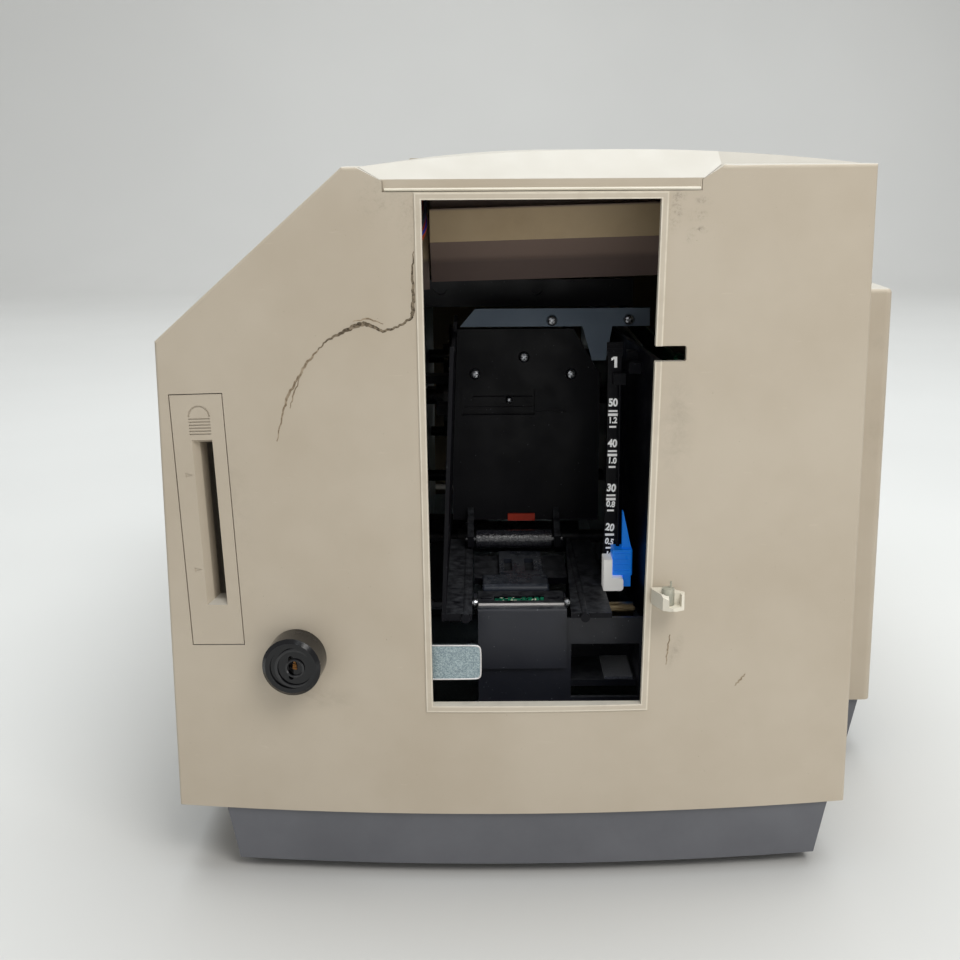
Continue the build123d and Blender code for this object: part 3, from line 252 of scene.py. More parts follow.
def panel_beige():
    """The input end panel: as the shell, with its stains, specks and scratches, painted light on the
    window's right side wall and a painted highlight on the bead round the window.
    """
    s = Shader("panel_beige", Specular_IOR_Level=0.35)
    colour = s.mix(s.span(s.noise(60, 4), 0.3, 0.75), linear("b8ad9c"), linear("b0a492"))
    smoke = s.noise(9, 6, 0.75, warp=0.6)
    speckle = s.span(s.noise(2.2, 6, 0.85), 0.45, 0.7)
    for x, z, reach, stretch, lean, strength in STAINS:
        patch = speckle if z > TOP_STAINS else s.span(smoke, 0.35, 0.75)
        mark = s.math("MULTIPLY", s.spot(x, z, reach, stretch, lean), patch)
        colour = s.mix(s.math("MULTIPLY", mark, strength), colour, linear("4e463c"))
    colour = s.mix(s.span(s.noise(0.8, 2), 0.745, 0.79, 0.0, 0.45), colour, linear("5c5144"))
    scratch = s.span(s.noise(1.0, 2, 0.5, stretch=(0.06, 1, 1.0)), 0.72, 0.76, 0.0, 0.14)
    colour = s.mix(scratch, colour, linear("cdc4b3"))
    # painted light: the window's right-hand side wall, which faces -X, is painted a lighter colour,
    # standing in for the light that shines on it and through the plastic
    lit_cut_wall = s.math("MULTIPLY", s.span(s.facing("X"), -0.95, -0.7, 1.0, 0.0),
                 s.span(s.axis("X"), 0.012, 0.018))
    colour = s.mix(s.math("MULTIPLY", lit_cut_wall, 0.8), colour, linear("e6dfcd"))
    # painted light: faces that look up take a cooler, less yellow tint of the overhead light
    colour = s.mix(s.span(s.facing("Z"), 0.75, 0.95, 0.0, 0.7), colour, linear("b5b2aa"))
    # painted highlight: the bead round the window is painted lighter, most of all along its two edges
    away = s.outside(WINDOW)
    bead = s.span(away, 0.0020, 0.0023, 0.14, 0.0)
    brink = s.math("MAXIMUM", s.span(away, 0.0003, 0.0006, 0.55, 0.0),
                   s.math("MULTIPLY", s.span(away, 0.0016, 0.0019), s.span(away, 0.0022, 0.0025, 0.5, 0.0)))
    bead_highlight = s.math("MULTIPLY", s.math("MAXIMUM", bead, brink), s.span(s.noise(6, 4), 0.25, 0.6, 0.6, 1.0))
    s.colour(s.mix(bead_highlight, colour, linear("ede6d6")))
    s.rough(s.span(s.noise(18, 5), 0.3, 0.7, 0.46, 0.62))
    s.bump((s.noise(0.5, 3, 0.75), 0.014), (s.noise(70, 2), 0.12))
    return s.mat


def galvanised():
    """Zinc-coated sheet with its fine spangle."""
    s = Shader("galvanised", Metallic=0.85, Specular_IOR_Level=0.5)
    spangle = s.cells(0.36, out="Color")
    split = s.node("ShaderNodeSeparateXYZ")
    s.link(spangle, split.inputs[0])
    flake = split.outputs["X"]
    colour = s.mix(flake, linear("7f8f97"), linear("bccbce"))
    fine = s.span(s.noise(0.5, 6, 0.8), 0.35, 0.7)
    colour = s.mix(s.math("MULTIPLY", fine, 0.5), colour, linear("5f6f74"))
    s.colour(colour)
    s.rough(s.span(flake, 0.0, 1.0, 0.3, 0.5))
    s.bump((s.noise(0.7, 5, 0.7), 0.015))
    return s.mat


def brushed(name, code, dark, gloss=(0.22, 0.4), along=(0.05, 1, 1), metallic=1.0):
    """Metal with fine streaks, drawn out along X unless along says otherwise."""
    s = Shader(name, Metallic=metallic)
    streak = s.noise(0.25, 4, 0.7, stretch=along)
    s.colour(s.mix(s.span(streak, 0.3, 0.7), linear(code), linear(dark)))
    s.rough(s.span(s.noise(3, 4), 0.3, 0.7, *gloss))
    s.bump((streak, 0.004))
    return s.mat


def painted(name, code, cloud, gloss=(0.3, 0.45)):
    """Painted sheet metal in a cloudy colour, worn bare on its edges."""
    s = Shader(name, Metallic=0.3, Specular_IOR_Level=0.5)
    colour = s.mix(s.span(s.noise(12, 5), 0.3, 0.7), linear(code), linear(cloud))
    s.colour(s.mix(s.edge(), colour, linear("9aa0a6")))
    s.rough(s.span(s.noise(4, 4), 0.3, 0.7, *gloss))
    s.bump((s.noise(0.6, 4, 0.7), 0.01))
    return s.mat


def board(name="pcb_green", bright=0.0):
    """Circuit board with its tracks; bright sets how many pale parts and solder dots it shows."""
    s = Shader(name, Coat_Weight=0.35, Coat_Roughness=0.2)
    tracks = s.span(s.noise(1.4, 1, 0.4, stretch=(0.25, 1, 1)), 0.5, 0.53)
    colour = s.mix(s.math("MULTIPLY", tracks, 0.6), linear("0b6a4c"), linear("2f9f78"))
    dots = s.math("MULTIPLY", s.span(s.cells(2.1), 0.34, 0.26), bright)
    s.colour(s.mix(dots, colour, linear("f4f1dc")))
    s.rough(s.span(s.noise(2, 3), 0.3, 0.7, 0.25, 0.4))
    s.bump((tracks, 0.02))
    return s.mat


def felt():
    """Grey felt with short fibres."""
    s = Shader("felt_grey", Sheen_Weight=0.5, Specular_IOR_Level=0.2)
    fibre = s.noise(0.35, 6, 0.8, stretch=(1, 0.4, 1))
    s.colour(s.mix(s.span(fibre, 0.35, 0.65), linear("3a3d47"), linear("7b7f8d")))
    s.rough(s.span(fibre, 0.3, 0.7, 0.8, 0.95))
    s.bump((fibre, 0.12))
    return s.mat


def tinted(name, code, rough, transmission, cloud):
    """Plastic that lets some light through."""
    s = Shader(name, IOR=1.49, Transmission_Weight=transmission)
    s.colour(s.mix(s.span(s.noise(9, 5), 0.3, 0.7), linear(code), linear(cloud)))
    s.rough(s.span(s.noise(5, 4), 0.3, 0.7, rough, rough + 0.15))
    s.bump((s.noise(1.0, 4), 0.01))
    return s.mat


def print_film():
    """The print ribbon: thin glossy film, from dark purple at -Y to dark teal at +Y."""
    s = Shader("ribbon", Coat_Weight=0.6, Coat_Roughness=0.1)
    band = s.span(s.axis("Y"), -0.2, 0.2)
    colour = s.mix(band, linear("2a1533"), linear("11262e"))
    s.colour(s.mix(s.span(s.noise(2, 3, stretch=(0.1, 1, 1)), 0.4, 0.6), colour, linear("1a0d16")))
    s.rough(s.span(s.noise(3, 3), 0.3, 0.7, 0.12, 0.28))
    s.bump((s.noise(3, 2, stretch=(0.1, 1, 1)), 0.03))
    return s.mat


def cleaning_film():
    """The cleaning roller's dark film, tacky and uneven under a wet gloss."""
    s = Shader("cleaning_film", Coat_Weight=1.0, Coat_Roughness=0.04, Specular_IOR_Level=0.8)
    s.colour(s.mix(s.span(s.noise(3, 4), 0.3, 0.7), linear("23232a"), linear("34353c")))
    s.rough(s.span(s.noise(1.2, 5), 0.35, 0.65, 0.06, 0.3))
    s.bump((s.noise(1.6, 4, 0.6), 0.35))
    return s.mat


def lamp():
    """A green status light with a weak glow."""
    s = Shader("led", Transmission_Weight=0.3, Emission_Color=linear("2fae3c"), Emission_Strength=0.25)
    s.colour(s.mix(s.span(s.noise(2, 3), 0.3, 0.7), linear("2f9a3a"), linear("1d6b28")))
    s.bump((s.noise(1.0, 3), 0.01))
    return s.mat


def crack_dark():
    """The raw, dirty walls of the crack in the end panel, darkened further with painted shade for the
    crack's depth.
    """
    s = Shader("crack_dark", Specular_IOR_Level=0.1)
    s.colour(s.mix(s.span(s.noise(1.5, 5, 0.8), 0.35, 0.65), linear("3a3127"), linear("8a7d6a")))
    s.rough(s.span(s.noise(2, 3), 0.3, 0.7, 0.8, 0.95))
    s.bump((s.noise(0.6, 4), 0.05))
    return s.mat


def rub_mark():
    """Dirt rubbed into the end panel's shallow scratches."""
    s = Shader("rub_mark", Specular_IOR_Level=0.2)
    s.colour(s.mix(s.span(s.noise(2.2, 6, 0.85), 0.4, 0.62), linear("6f5f4c"), linear("a59680")))
    s.rough(s.span(s.noise(3, 3), 0.3, 0.7, 0.6, 0.8))
    s.bump((s.noise(0.5, 3), 0.02))
    return s.mat


LINER_RISE = 0.025  # how much the duct climbs towards the rear side, per unit of X


def liner_tan():
    """The cover's duct: tan with age on its upright face; its browner down-facing lips and the darker bands
    below and above that face are painted shade.
    """
    s = Shader("liner_tan", Specular_IOR_Level=0.3)
    height = s.math("SUBTRACT", s.axis("Z"), s.math("MULTIPLY", s.axis("X"), LINER_RISE))
    colour = s.mix(s.span(s.noise(30, 5), 0.3, 0.7), linear("a89475"), linear("9c886a"))
    # painted shade: down-facing lips browner, the lower slope and the recessed band above the upright face
    # darker
    colour = s.mix(s.span(s.facing("Z"), -0.2, -0.5), colour, linear("75645b"))
    colour = s.mix(s.span(height, 0.2205, 0.2175), colour, linear("564843"))
    colour = s.mix(s.span(height, 0.2362, 0.2372), colour, linear("5f5048"))
    s.colour(colour)
    s.rough(s.span(s.noise(12, 4), 0.3, 0.7, 0.45, 0.62))
    s.bump((s.noise(0.5, 3, 0.75), 0.014))
    return s.mat


BEIGE = shell_beige()
PANEL = panel_beige()
BASE = moulded("base_grey", "66676c", "5d5e63", 0.4, 0.016, (0.42, 0.58))
BLACK = moulded("black_plastic", "0a0a11", "06060b", 0.4, 0.010, (0.34, 0.5), dusty=True,
                shine=0.15)
COVER = moulded("cover_black", "24262e", "1d1f27", 0.45, 0.010, (0.3, 0.45), dusty=True)
SLATE = moulded("slate_plastic", "2b303a", "20242d", 0.5, 0.006, (0.22, 0.36), dusty=True)
FRAME_METAL = painted("slate_metal", "303846", "262c37")
ZINC = galvanised()
STEEL = brushed("steel", "c9cbce", "9a9ca1")
BRONZE = brushed("bronze", "9a8a6c", "5c4d36", (0.25, 0.45))
RUBBER = moulded("rubber_black", "16161a", "1e1e22", 0.8, 0.02, (0.7, 0.85))
ROLLER = moulded("roller_rubber", "33343a", "222329", 0.7, 0.02, (0.2, 0.4))
CLEANING_FILM = cleaning_film()
BLUE = moulded("blue_plastic", "1a92ff", "1480f0", 0.5, 0.008, (0.24, 0.36))
WHITE = moulded("white_plastic", "fbfaf6", "f0eee8", 0.5, 0.008, (0.35, 0.5))
LOCK = moulded("lock_black", "060608", "0c0c0f", 0.9, 0.006, (0.12, 0.3))
GREEN = board()
ORANGE = moulded("orange_plastic", "c8371a", "a82c14", 0.5, 0.01, (0.35, 0.5))
FELT = felt()
CLOUDED = tinted("translucent", "a3a292", 0.4, 0.35, "c9c7b6")
DISPLAY = tinted("display", "2e3a2c", 0.08, 0.1, "384735")
BUTTON = moulded("button_grey", "74757a", "66676c", 0.4, 0.01, (0.4, 0.55))
MOTOR = painted("motor_metal", "26272a", "3a3b3f")
RIBBON = print_film()
INK = moulded("scale_print", "f6f6f4", "e6e6e4", 0.5, 0.004, (0.4, 0.5))
# a slight glow stands in for the light that scatters inside these bright plastics
for plastic, glow, strength in ((BLUE, "1480f0", 0.18), (WHITE, "fbfaf6", 0.22), (INK, "f6f6f4", 0.22)):
    inputs = plastic.node_tree.nodes["Principled BSDF"].inputs
    inputs["Emission Color"].default_value = linear(glow)
    inputs["Emission Strength"].default_value = strength
LED = lamp()
BY_SLOT = {
    "shell_beige": BEIGE, "base_grey": BASE, "black_plastic": BLACK, "slate_plastic": SLATE,
    "slate_metal": FRAME_METAL, "galvanised": ZINC, "steel": STEEL, "bronze": BRONZE,
    "rubber_black": RUBBER, "roller_rubber": ROLLER, "blue_plastic": BLUE, "white_plastic": WHITE,
    "lock_black": LOCK, "pcb_green": GREEN, "orange_plastic": ORANGE, "felt_grey": FELT,
    "translucent": CLOUDED, "display": DISPLAY, "led": LED, "button_grey": BUTTON, "wire": ORANGE,
    "ribbon": RIBBON, "motor_metal": MOTOR, "board_parts": GREEN,
}
for name, obj in nodes.items():
    for place in obj.material_slots:
        slot_name = place.material.name.split(".")[0]
        place.material = BY_SLOT[slot_name]
nodes["input_end_panel"].material_slots[0].material = PANEL
nodes["feeder_front_cover"].material_slots[0].material = COVER
nodes["top_cover"].material_slots[0].material = shell_beige("cover_beige", 0.45)
nodes["cross_beam"].material_slots[0].material = COVER
nodes["slide_rail"].material_slots[0].material = BLACK
nodes["sensor_board"].material_slots[0].material = board("sensor_board_green", 1.0)
FLANGE = moulded("flange_metal", "7a8796", "6b7887", 0.5, 0.006, (0.5, 0.65), shine=0.15)
nodes["hopper_flange"].material_slots[0].material = FLANGE
LINER = liner_tan()
nodes["cover_liner"].material_slots[0].material = LINER
nodes["cleaning_roller"].material_slots[0].material = CLEANING_FILM


# ------------------------------------------------------------------ small pieces
def add(name, mesh, material, body="housing"):
    """Places a mesh in the scene: its material and the body it rides with."""
    obj = bpy.data.objects.new(name, mesh)
    scene.collection.objects.link(obj)
    mesh.materials.clear()
    mesh.materials.append(material)
    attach(obj, body)
    return obj


def tube(name, points, radius, material, body):
    """A smooth wire along points given in millimetres."""
    curve = bpy.data.curves.new(name, "CURVE")
    curve.dimensions = "3D"
    curve.bevel_depth = radius * MM
    curve.bevel_resolution = 4
    spline = curve.splines.new("NURBS")
    spline.points.add(len(points) - 1)
    for point, place in zip(spline.points, points):
        point.co = (*[v * MM for v in place], 1)
    spline.order_u = 3
    spline.use_endpoint_u = True
    obj = bpy.data.objects.new(name, curve)
    scene.collection.objects.link(obj)
    curve.materials.append(material)
    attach(obj, body)
    return obj


def wire_material(name, code):
    return moulded(name, code, code, 0.6, 0.006, (0.35, 0.5))


# the harness hangs in a loop: forward from under the cover, down past the duct's end, and back
ROUTE = [(-50, -186, 243), (-48.2, -200, 240.2), (-47.2, -211, 236.5), (-47.3, -217.5, 232.5),
         (-48.6, -220.5, 229.8), (-52, -221, 228.8), (-57, -219, 229), (-61, -214, 230.5),
         (-63, -190, 236), (-63, -160, 242)]
WIRE_RADIUS = 0.62
WIRE_PITCH = 1.5
for index, code in enumerate(("2a3040", "8f2417", "1c2f9e", "c8501e")):
    points = []
    for step, (x, y, z) in enumerate(ROUTE):
        # each wire wanders a little, out of step with its neighbours
        wave = math.sin(step * 1.3 + index * 1.7)
        points.append((x + 0.3 * wave, y + 0.5 * wave, z - WIRE_PITCH * index + 0.5 * wave))
    tube(f"harness_wire_{index + 1}", points, WIRE_RADIUS,
                      wire_material(f"wire_{index + 1}", code), "top_cover")
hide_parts("cover_harness")


def band(bm, low, high):
    """Faces between two rings of as many points."""
    count = len(low)
    for k in range(count):
        bm.faces.new((low[k], low[(k + 1) % count], high[(k + 1) % count], high[k]))


def lathe(bm, centre, profile, steps=32):
    """Turns (radius, depth) pairs about an axis along Y; depth grows towards -Y."""
    rings = []
    for radius, depth in profile:
        ring = []
        for k in range(steps):
            a = 2 * math.pi * k / steps
            ring.append(bm.verts.new(((centre[0] + radius * math.cos(a)) * MM, (centre[1] - depth) * MM,
                                      (centre[2] + radius * math.sin(a)) * MM)))
        rings.append(ring)
    for low, high in zip(rings, rings[1:]):
        band(bm, low, high)
    return rings


def screw_head(bm, x, y, z, r):
    """A pan head with a washer face and a cross recess sunk in its crown."""
    steps = 32
    rings = lathe(bm, (x, y, z), [(r, 0), (r, 0.35), (r * 0.94, 0.75), (r * 0.8, 1.15), (r * 0.6, 1.42)],
                  steps)
    inner, deep = [], []
    for k in range(steps):
        a = 2 * math.pi * k / steps
        arm = abs(math.cos(2 * a)) ** 1.5
        reach = r * (0.16 + 0.36 * arm)
        inner.append(bm.verts.new(((x + reach * math.cos(a)) * MM, (y - 1.5) * MM,
                                   (z + reach * math.sin(a)) * MM)))
        deep.append(bm.verts.new(((x + reach * 0.55 * math.cos(a)) * MM, (y - 0.5) * MM,
                                  (z + reach * 0.55 * math.sin(a)) * MM)))
    band(bm, rings[-1], inner)
    band(bm, inner, deep)
    bm.faces.new(deep)
    bm.faces.new(rings[0][::-1])


def islands(obj):
    """The low and high corners of each loose part of a CAD node's mesh."""
    bm = bmesh.new()
    bm.from_mesh(obj.data)
    bmesh.ops.remove_doubles(bm, verts=bm.verts, dist=1e-6)
    seen, out = set(), []
    for vert in bm.verts:
        if vert in seen:
            continue
        stack, found = [vert], []
        seen.add(vert)
        while stack:
            v = stack.pop()
            found.append(v.co.copy())
            for e in v.link_edges:
                other = e.other_vert(v)
                if other not in seen:
                    seen.add(other)
                    stack.append(other)
        out.append((Vector([min(c[i] for c in found) for i in range(3)]),
                    Vector([max(c[i] for c in found) for i in range(3)])))
    bm.free()
    return out


def shade_smooth(mesh, angle=40):
    """Rounded shading, but for edges that turn by more than angle degrees."""
    mesh.shade_smooth()
    mesh.set_sharp_from_angle(angle=math.radians(angle))


def piece(name, build, material, body="housing", smooth=True):
    """Adds the body that build() draws, with rounded or with flat shading."""
    bm = bmesh.new()
    build(bm)
    bm.normal_update()
    mesh = bpy.data.meshes.new(name)
    bm.to_mesh(mesh)
    bm.free()
    if smooth:
        shade_smooth(mesh)
    return add(name, mesh, material, body)


def screw_heads(bm):
    """A head on the place of each of the CAD's hopper screws, as wide as that screw."""
    for low, high in islands(nodes["hopper_screws"]):
        screw_head(bm, (low.x + high.x) / 2 / MM, high.y / MM, (low.z + high.z) / 2 / MM,
                   (high.x - low.x) / 2 / MM)


heads = piece("hopper_screw_heads", screw_heads, STEEL)
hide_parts("hopper_screws")


def prism(bm, front, back):
    """A closed body between two outlines of as many points."""
    bm.faces.new(front)
    bm.faces.new(back[::-1])
    count = len(front)
    for i in range(count):
        j = (i + 1) % count
        bm.faces.new((front[i], back[i], back[j], front[j]))


def slab(bm, corners, face_y, thick):
    """A thin upright plate: corners are (x, z), its face looks to -Y at face_y."""
    front = [bm.verts.new((x * MM, face_y * MM, z * MM)) for x, z in corners]
    back = [bm.verts.new((x * MM, (face_y + thick) * MM, z * MM)) for x, z in corners]
    prism(bm, front, back)


def skin(bm, rows):
    """A closed body through rows of points, each row a closed outline."""
    count = len(rows[0])
    for low, high in zip(rows, rows[1:]):
        for a in range(count):
            b = (a + 1) % count
            bm.faces.new((low[a], high[a], high[b], low[b]))
    bm.faces.new(rows[0])
    bm.faces.new(rows[-1][::-1])
    bmesh.ops.recalc_face_normals(bm, faces=bm.faces)


def spin(bm, origin, axis, profile, steps=40, close=True):
    """Turns (radius, height) pairs about an axis through origin, all in millimetres.

    Ends are capped when close is set; otherwise the profile joins up into a ring.
    """
    axis = Vector(axis).normalized()
    u = axis.orthogonal().normalized()
    v = axis.cross(u)
    turns = [2 * math.pi * k / steps for k in range(steps)]
    rings = []
    for radius, height in profile:
        middle = Vector(origin) + axis * height
        rings.append([bm.verts.new((middle + (u * math.cos(a) + v * math.sin(a)) * radius) * MM)
                      for a in turns])
    for low, high in zip(rings, rings[1:]):
        band(bm, low, high)
    if close:
        bm.faces.new(rings[-1])
        bm.faces.new(rings[0][::-1])
    else:
        band(bm, rings[-1], rings[0])


def flank(bm):
    """A narrow return of the duct, beside its left end and behind the wires."""
    corners = [(-53.5, 206.5), (-46.2, 207.2), (-46.2, 233.6), (-53.5, 233.6)]
    slab(bm, corners, -206.0, 1.5)


def lip_bead(bm):
    """The rounded lower edge of the cover's tongue, along the notch."""
    outline = ((-0.2, -0.02), (0.3, 0.0), (0.62, 0.3), (0.68, 0.62), (0.4, 0.95), (-0.2, 1.1))
    steps = 32
    rows = []
    for k in range(steps + 1):
        x = (-58.9 + 102.3 * k / steps) * MM
        rows.append([bm.verts.new((x, (-252.0 - dy) * MM, (243.1 + dz) * MM)) for dy, dz in outline])
    skin(bm, rows)


def baffle(bm):
    """A thin ribbed wall inside the rear shell that closes the view under the cover's edge."""
    steps = 32
    rows = []
    for k in range(steps + 1):
        y = (-228.0 + 160.0 * k / steps) * MM
        proud = 0.6 if k % 4 == 2 else 0.0
        outline = ((84.0 - proud, 204.0), (85.6, 204.0), (85.6, 235.4), (84.0 - proud, 235.4))
        rows.append([bm.verts.new((x * MM, y, z * MM)) for x, z in outline])
    skin(bm, rows)


piece("rear_baffle", baffle, BEIGE, "housing", False)
piece("liner_flank", flank, LINER, "top_cover", False)
# the cover's lip bead is in a lighter cream: a painted highlight along the tongue's lower edge
CREAM = moulded("cream_edge", "e2dccd", "d6cfbe", 0.5, 0.008, (0.45, 0.6))
piece("cover_lip_bead", lip_bead, CREAM, "top_cover")
nodes["door_hinge_ear"].material_slots[0].material = CREAM

# the sensor plate's bright front lip and the collars of its shaft
plate_low, plate_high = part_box("sensor_plate")


def sensor_lip(bm):
    """The folded edge along the top of the sensor plate's front."""
    x0, x1 = plate_low.x / MM + 0.2, plate_high.x / MM - 0.2
    y, z = plate_low.y / MM, plate_high.z / MM
    profile = [(y - 0.05, z - 1.3), (y - 0.12, z - 0.5), (y - 0.05, z - 0.05), (y + 0.5, z + 0.02),
               (y + 0.5, z - 0.3), (y + 0.1, z - 1.3)]
    skin(bm, [[bm.verts.new((x * MM, py * MM, pz * MM)) for py, pz in profile] for x in (x0, x1)])


LIP = brushed("lip_silver", "e9e6e4", "cbc8c6", (0.35, 0.5), metallic=0.3)
piece("sensor_lip", sensor_lip, LIP)


def collars(bm):
    """A stepped collar at each end of the sensor plate's shaft."""
    profile = [(0.6, 0.0), (1.7, 0.0), (1.85, 0.2), (1.85, 1.5), (1.6, 1.7), (1.1, 1.75), (1.1, 2.4),
               (0.2, 2.45)]
    for x, way in ((plate_low.x / MM, -1), (plate_high.x / MM, 1)):
        spin(bm, (x, -214.5, 91.6), (way, 0, 0), profile)


piece("shaft_collars", collars, STEEL)


def guide_shaft(bm):
    """A thin shaft left of the sensor plate."""
    spin(bm, (-47.6, -205.0, 68.2), (1, 0, 0), [(0.5, 0.0), (0.8, 0.3), (0.8, 16.9), (0.5, 17.2)])


def guide_bush(bm):
    """A grooved bush over that shaft, and the upright pin that carries it."""
    spin(bm, (-34.6, -205.0, 71.7), (1, 0, 0),
         [(1.0, 0.0), (1.7, 0.3), (1.7, 1.4), (1.2, 1.5), (1.2, 2.1), (1.7, 2.2), (1.7, 3.4), (1.1, 3.7)])
    spin(bm, (-33.0, -205.0, 64.0), (0, 0, 1), [(0.7, 0.0), (0.7, 7.0)])


piece("guide_shaft", guide_shaft, LIP)
piece("guide_bush", guide_bush, SLATE)

# a rolled edge round the zinc catch plate, in a lighter metal as a painted highlight along its rim
plate_edge = [(-46.6, 86.55), (-38.0, 86.55), (-31.2, 86.5), (-28.9, 86.2), (-28.6, 84.0), (-28.6, 80.3),
              (-28.6, 76.6), (-28.9, 74.4), (-31.2, 74.1), (-38.0, 74.05), (-46.6, 74.05)]
tube("latch_rim", [(x, -247.2, z) for x, z in plate_edge], 0.27, LIP, "housing")

# numbers and bars of the card thickness scale
STRIP_FACE = -196.62
STRIP_X = 21.35


def label(name, text, x, z, height, lean=0.0):
    """Raised printed figures, height millimetres tall, on the scale's strip."""
    curve = bpy.data.curves.new(name, "FONT")
    curve.body = text
    curve.align_x = "CENTER"
    curve.align_y = "CENTER"
    curve.size = height * 1.42 * MM
    curve.offset = height * 0.06 * MM
    curve.extrude = 0.02 * MM
    holder = bpy.data.objects.new(name + "_text", curve)
    scene.collection.objects.link(holder)
    bpy.context.view_layer.update()
    mesh = bpy.data.meshes.new_from_object(holder)
    bpy.data.objects.remove(holder)
    place = (Matrix.Translation((x * MM, STRIP_FACE * MM, z * MM))
             @ Matrix.Rotation(math.radians(lean), 4, "Y")
             @ Matrix.Rotation(math.radians(90), 4, "X")
             @ Matrix.Diagonal((0.86, 1, 1, 1)))
    mesh.transform(place)
    mesh.name = name
    return add(name, mesh, INK)


# text, height of its middle, height of its figures, and lean in degrees
LABELS = [("50", 163.7, 2.8, 0), ("1.2", 157.0, 2.2, 0), ("40", 148.2, 2.8, 3),
          ("1.0", 141.6, 2.2, 4), ("30", 131.0, 2.8, 6), ("0.8", 124.7, 2.2, 7), ("20", 115.6, 2.7, 10),
          ("0.5", 110.0, 2.2, 12), ("10", 104.6, 2.5, 14)]


def strip_x(z):
    """Middle of the printed column, which leans a little towards its foot."""
    return STRIP_X - max(0.0, 140.0 - z) * 0.022


for index, (text, z, height, lean) in enumerate(LABELS):
    label(f"scale_number_{index + 2}", text, strip_x(z), z, height, lean)
# height, width and thickness of each printed bar
BARS = [(160.6, 3.4, 0.7), (159.2, 3.6, 1.0), (154.6, 2.6, 0.7), (145.3, 3.4, 0.7), (143.8, 3.6, 1.0),
        (139.2, 2.6, 0.7), (128.2, 3.4, 0.7), (126.7, 3.6, 1.0), (122.3, 2.6, 0.7), (112.8, 3.4, 0.9),
        (107.6, 2.6, 0.7)]


def scale_bars(bm):
    for z, wide, tall in BARS:
        mid = strip_x(z)
        slab(bm, [(mid - wide / 2, z - tall / 2), (mid + wide / 2, z - tall / 2),
                  (mid + wide / 2, z + tall / 2), (mid - wide / 2, z + tall / 2)], STRIP_FACE, 0.04)


piece("scale_bars", scale_bars, INK, "housing", False)


def figure_one(bm):
    """The large figure at the top of the scale: a stem with a slanted flag."""
    tall, mid, middle_z = 4.5, 21.7, 179.2
    outline = [(-0.02, -0.5), (0.21, -0.5), (0.21, 0.5), (0.03, 0.5), (-0.27, 0.29), (-0.27, 0.08),
               (-0.02, 0.22)]
    slab(bm, [(mid + x * tall, middle_z + z * tall) for x, z in outline], STRIP_FACE - 0.02, 0.05)


piece("scale_number_1", figure_one, INK, "housing", False)

# the cam lock's face: polished rings, a worn brass keyway and its wafers
plug_low, plug_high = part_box("lock_plug")
LOCK_AXIS = Vector((-0.084, -0.9965, 0.0))
BRASS = brushed("keyway_brass", "8a5f34", "3a2a1c", (0.3, 0.5))
GLOSS = moulded("lock_polish", "0a0a0c", "141417", 1.6, 0.02, (0.06, 0.2), shine=0.6)
face = Vector(((plug_low.x + plug_high.x) / 2 / MM, plug_low.y / MM, (plug_low.z + plug_high.z) / 2 / MM))


def lock_rings(bm):
    """Polished rings on the lock's face and round its keyway."""
    spin(bm, face, LOCK_AXIS, [(7.0, -0.1), (7.0, 0.12), (6.5, 0.3), (6.0, 0.12), (6.0, -0.1)], 56, False)
    spin(bm, face, LOCK_AXIS, [(3.3, -0.1), (3.3, 0.1), (2.9, 0.2), (2.6, 0.05), (2.6, -0.1)], 40, False)


def keyway(bm):
    """Three uneven brass wafers one above another in the keyway."""
    u = Vector((0, 0, 1))
    v = LOCK_AXIS.cross(u).normalized()
    for k, (high, wide, reach) in enumerate(((0.6, 1.5, 2.1), (-1.6, 1.1, 1.2), (2.2, 0.9, 0.9))):
        corners = [(-wide / 2, high - reach / 2), (wide / 2, high - reach / 2 + 0.3),
                   (wide / 2 - 0.2, high + reach / 2), (-wide / 2 + 0.15, high + reach / 2 - 0.25)]
        front = [bm.verts.new((face + v * a + u * b + LOCK_AXIS * (0.05 - 0.9 * (k % 2))) * MM)
                 for a, b in corners]
        back = [bm.verts.new((face + v * a + u * b - LOCK_AXIS * 2.4) * MM) for a, b in corners]
        prism(bm, front, back)


piece("lock_rings", lock_rings, GLOSS, "lock_plug")
piece("lock_keyway", keyway, BRASS, "lock_plug", False)


# ------------------------------------------------------------------ cracks and scratches
panel_mesh = nodes["input_end_panel"].data
panel_tree = BVHTree.FromPolygons([v.co for v in panel_mesh.vertices],
                                  [p.vertices for p in panel_mesh.polygons])


def on_panel(x, z):
    """The end panel's outer face at x, z: the point in metres, and the direction it faces."""
    hit = panel_tree.ray_cast(Vector((x * MM, -0.4, z * MM)), Vector((0, 1, 0)))
    return hit[0], hit[1]


def panel_strip(bm, path, widths, lift=0.03, root=-0.1, fill=6):
    """A thin ragged strip on the panel, through (x, z) points, as wide as given at each."""
    fine = []
    for (a, wide_a), (b, wide_b) in zip(zip(path, widths), zip(path[1:], widths[1:])):
        for k in range(fill):
            t = k / fill
            jag = 0.18 * math.sin(37.0 * (a[0] + t) + 11.0 * (a[1] - t)) if 0 < k else 0.0
            x = a[0] + (b[0] - a[0]) * t + jag
            z = a[1] + (b[1] - a[1]) * t - jag
            fine.append((x, z, wide_a + (wide_b - wide_a) * t))
    fine.append((*path[-1], widths[-1]))
    rows = []
    for i, (x, z, w) in enumerate(fine):
        x0, z0, _ = fine[max(i - 1, 0)]
        x1, z1, _ = fine[min(i + 1, len(fine) - 1)]
        run = Vector((x1 - x0, z1 - z0)).normalized()
        side = Vector((-run.y, run.x)) * w / 2
        row = []
        for way, height in ((-1, lift), (1, lift), (1, root), (-1, root)):
            place, normal = on_panel(x + way * side.x, z + way * side.y)
            row.append(bm.verts.new(place + normal * height * MM))
        rows.append(row)
    skin(bm, rows)


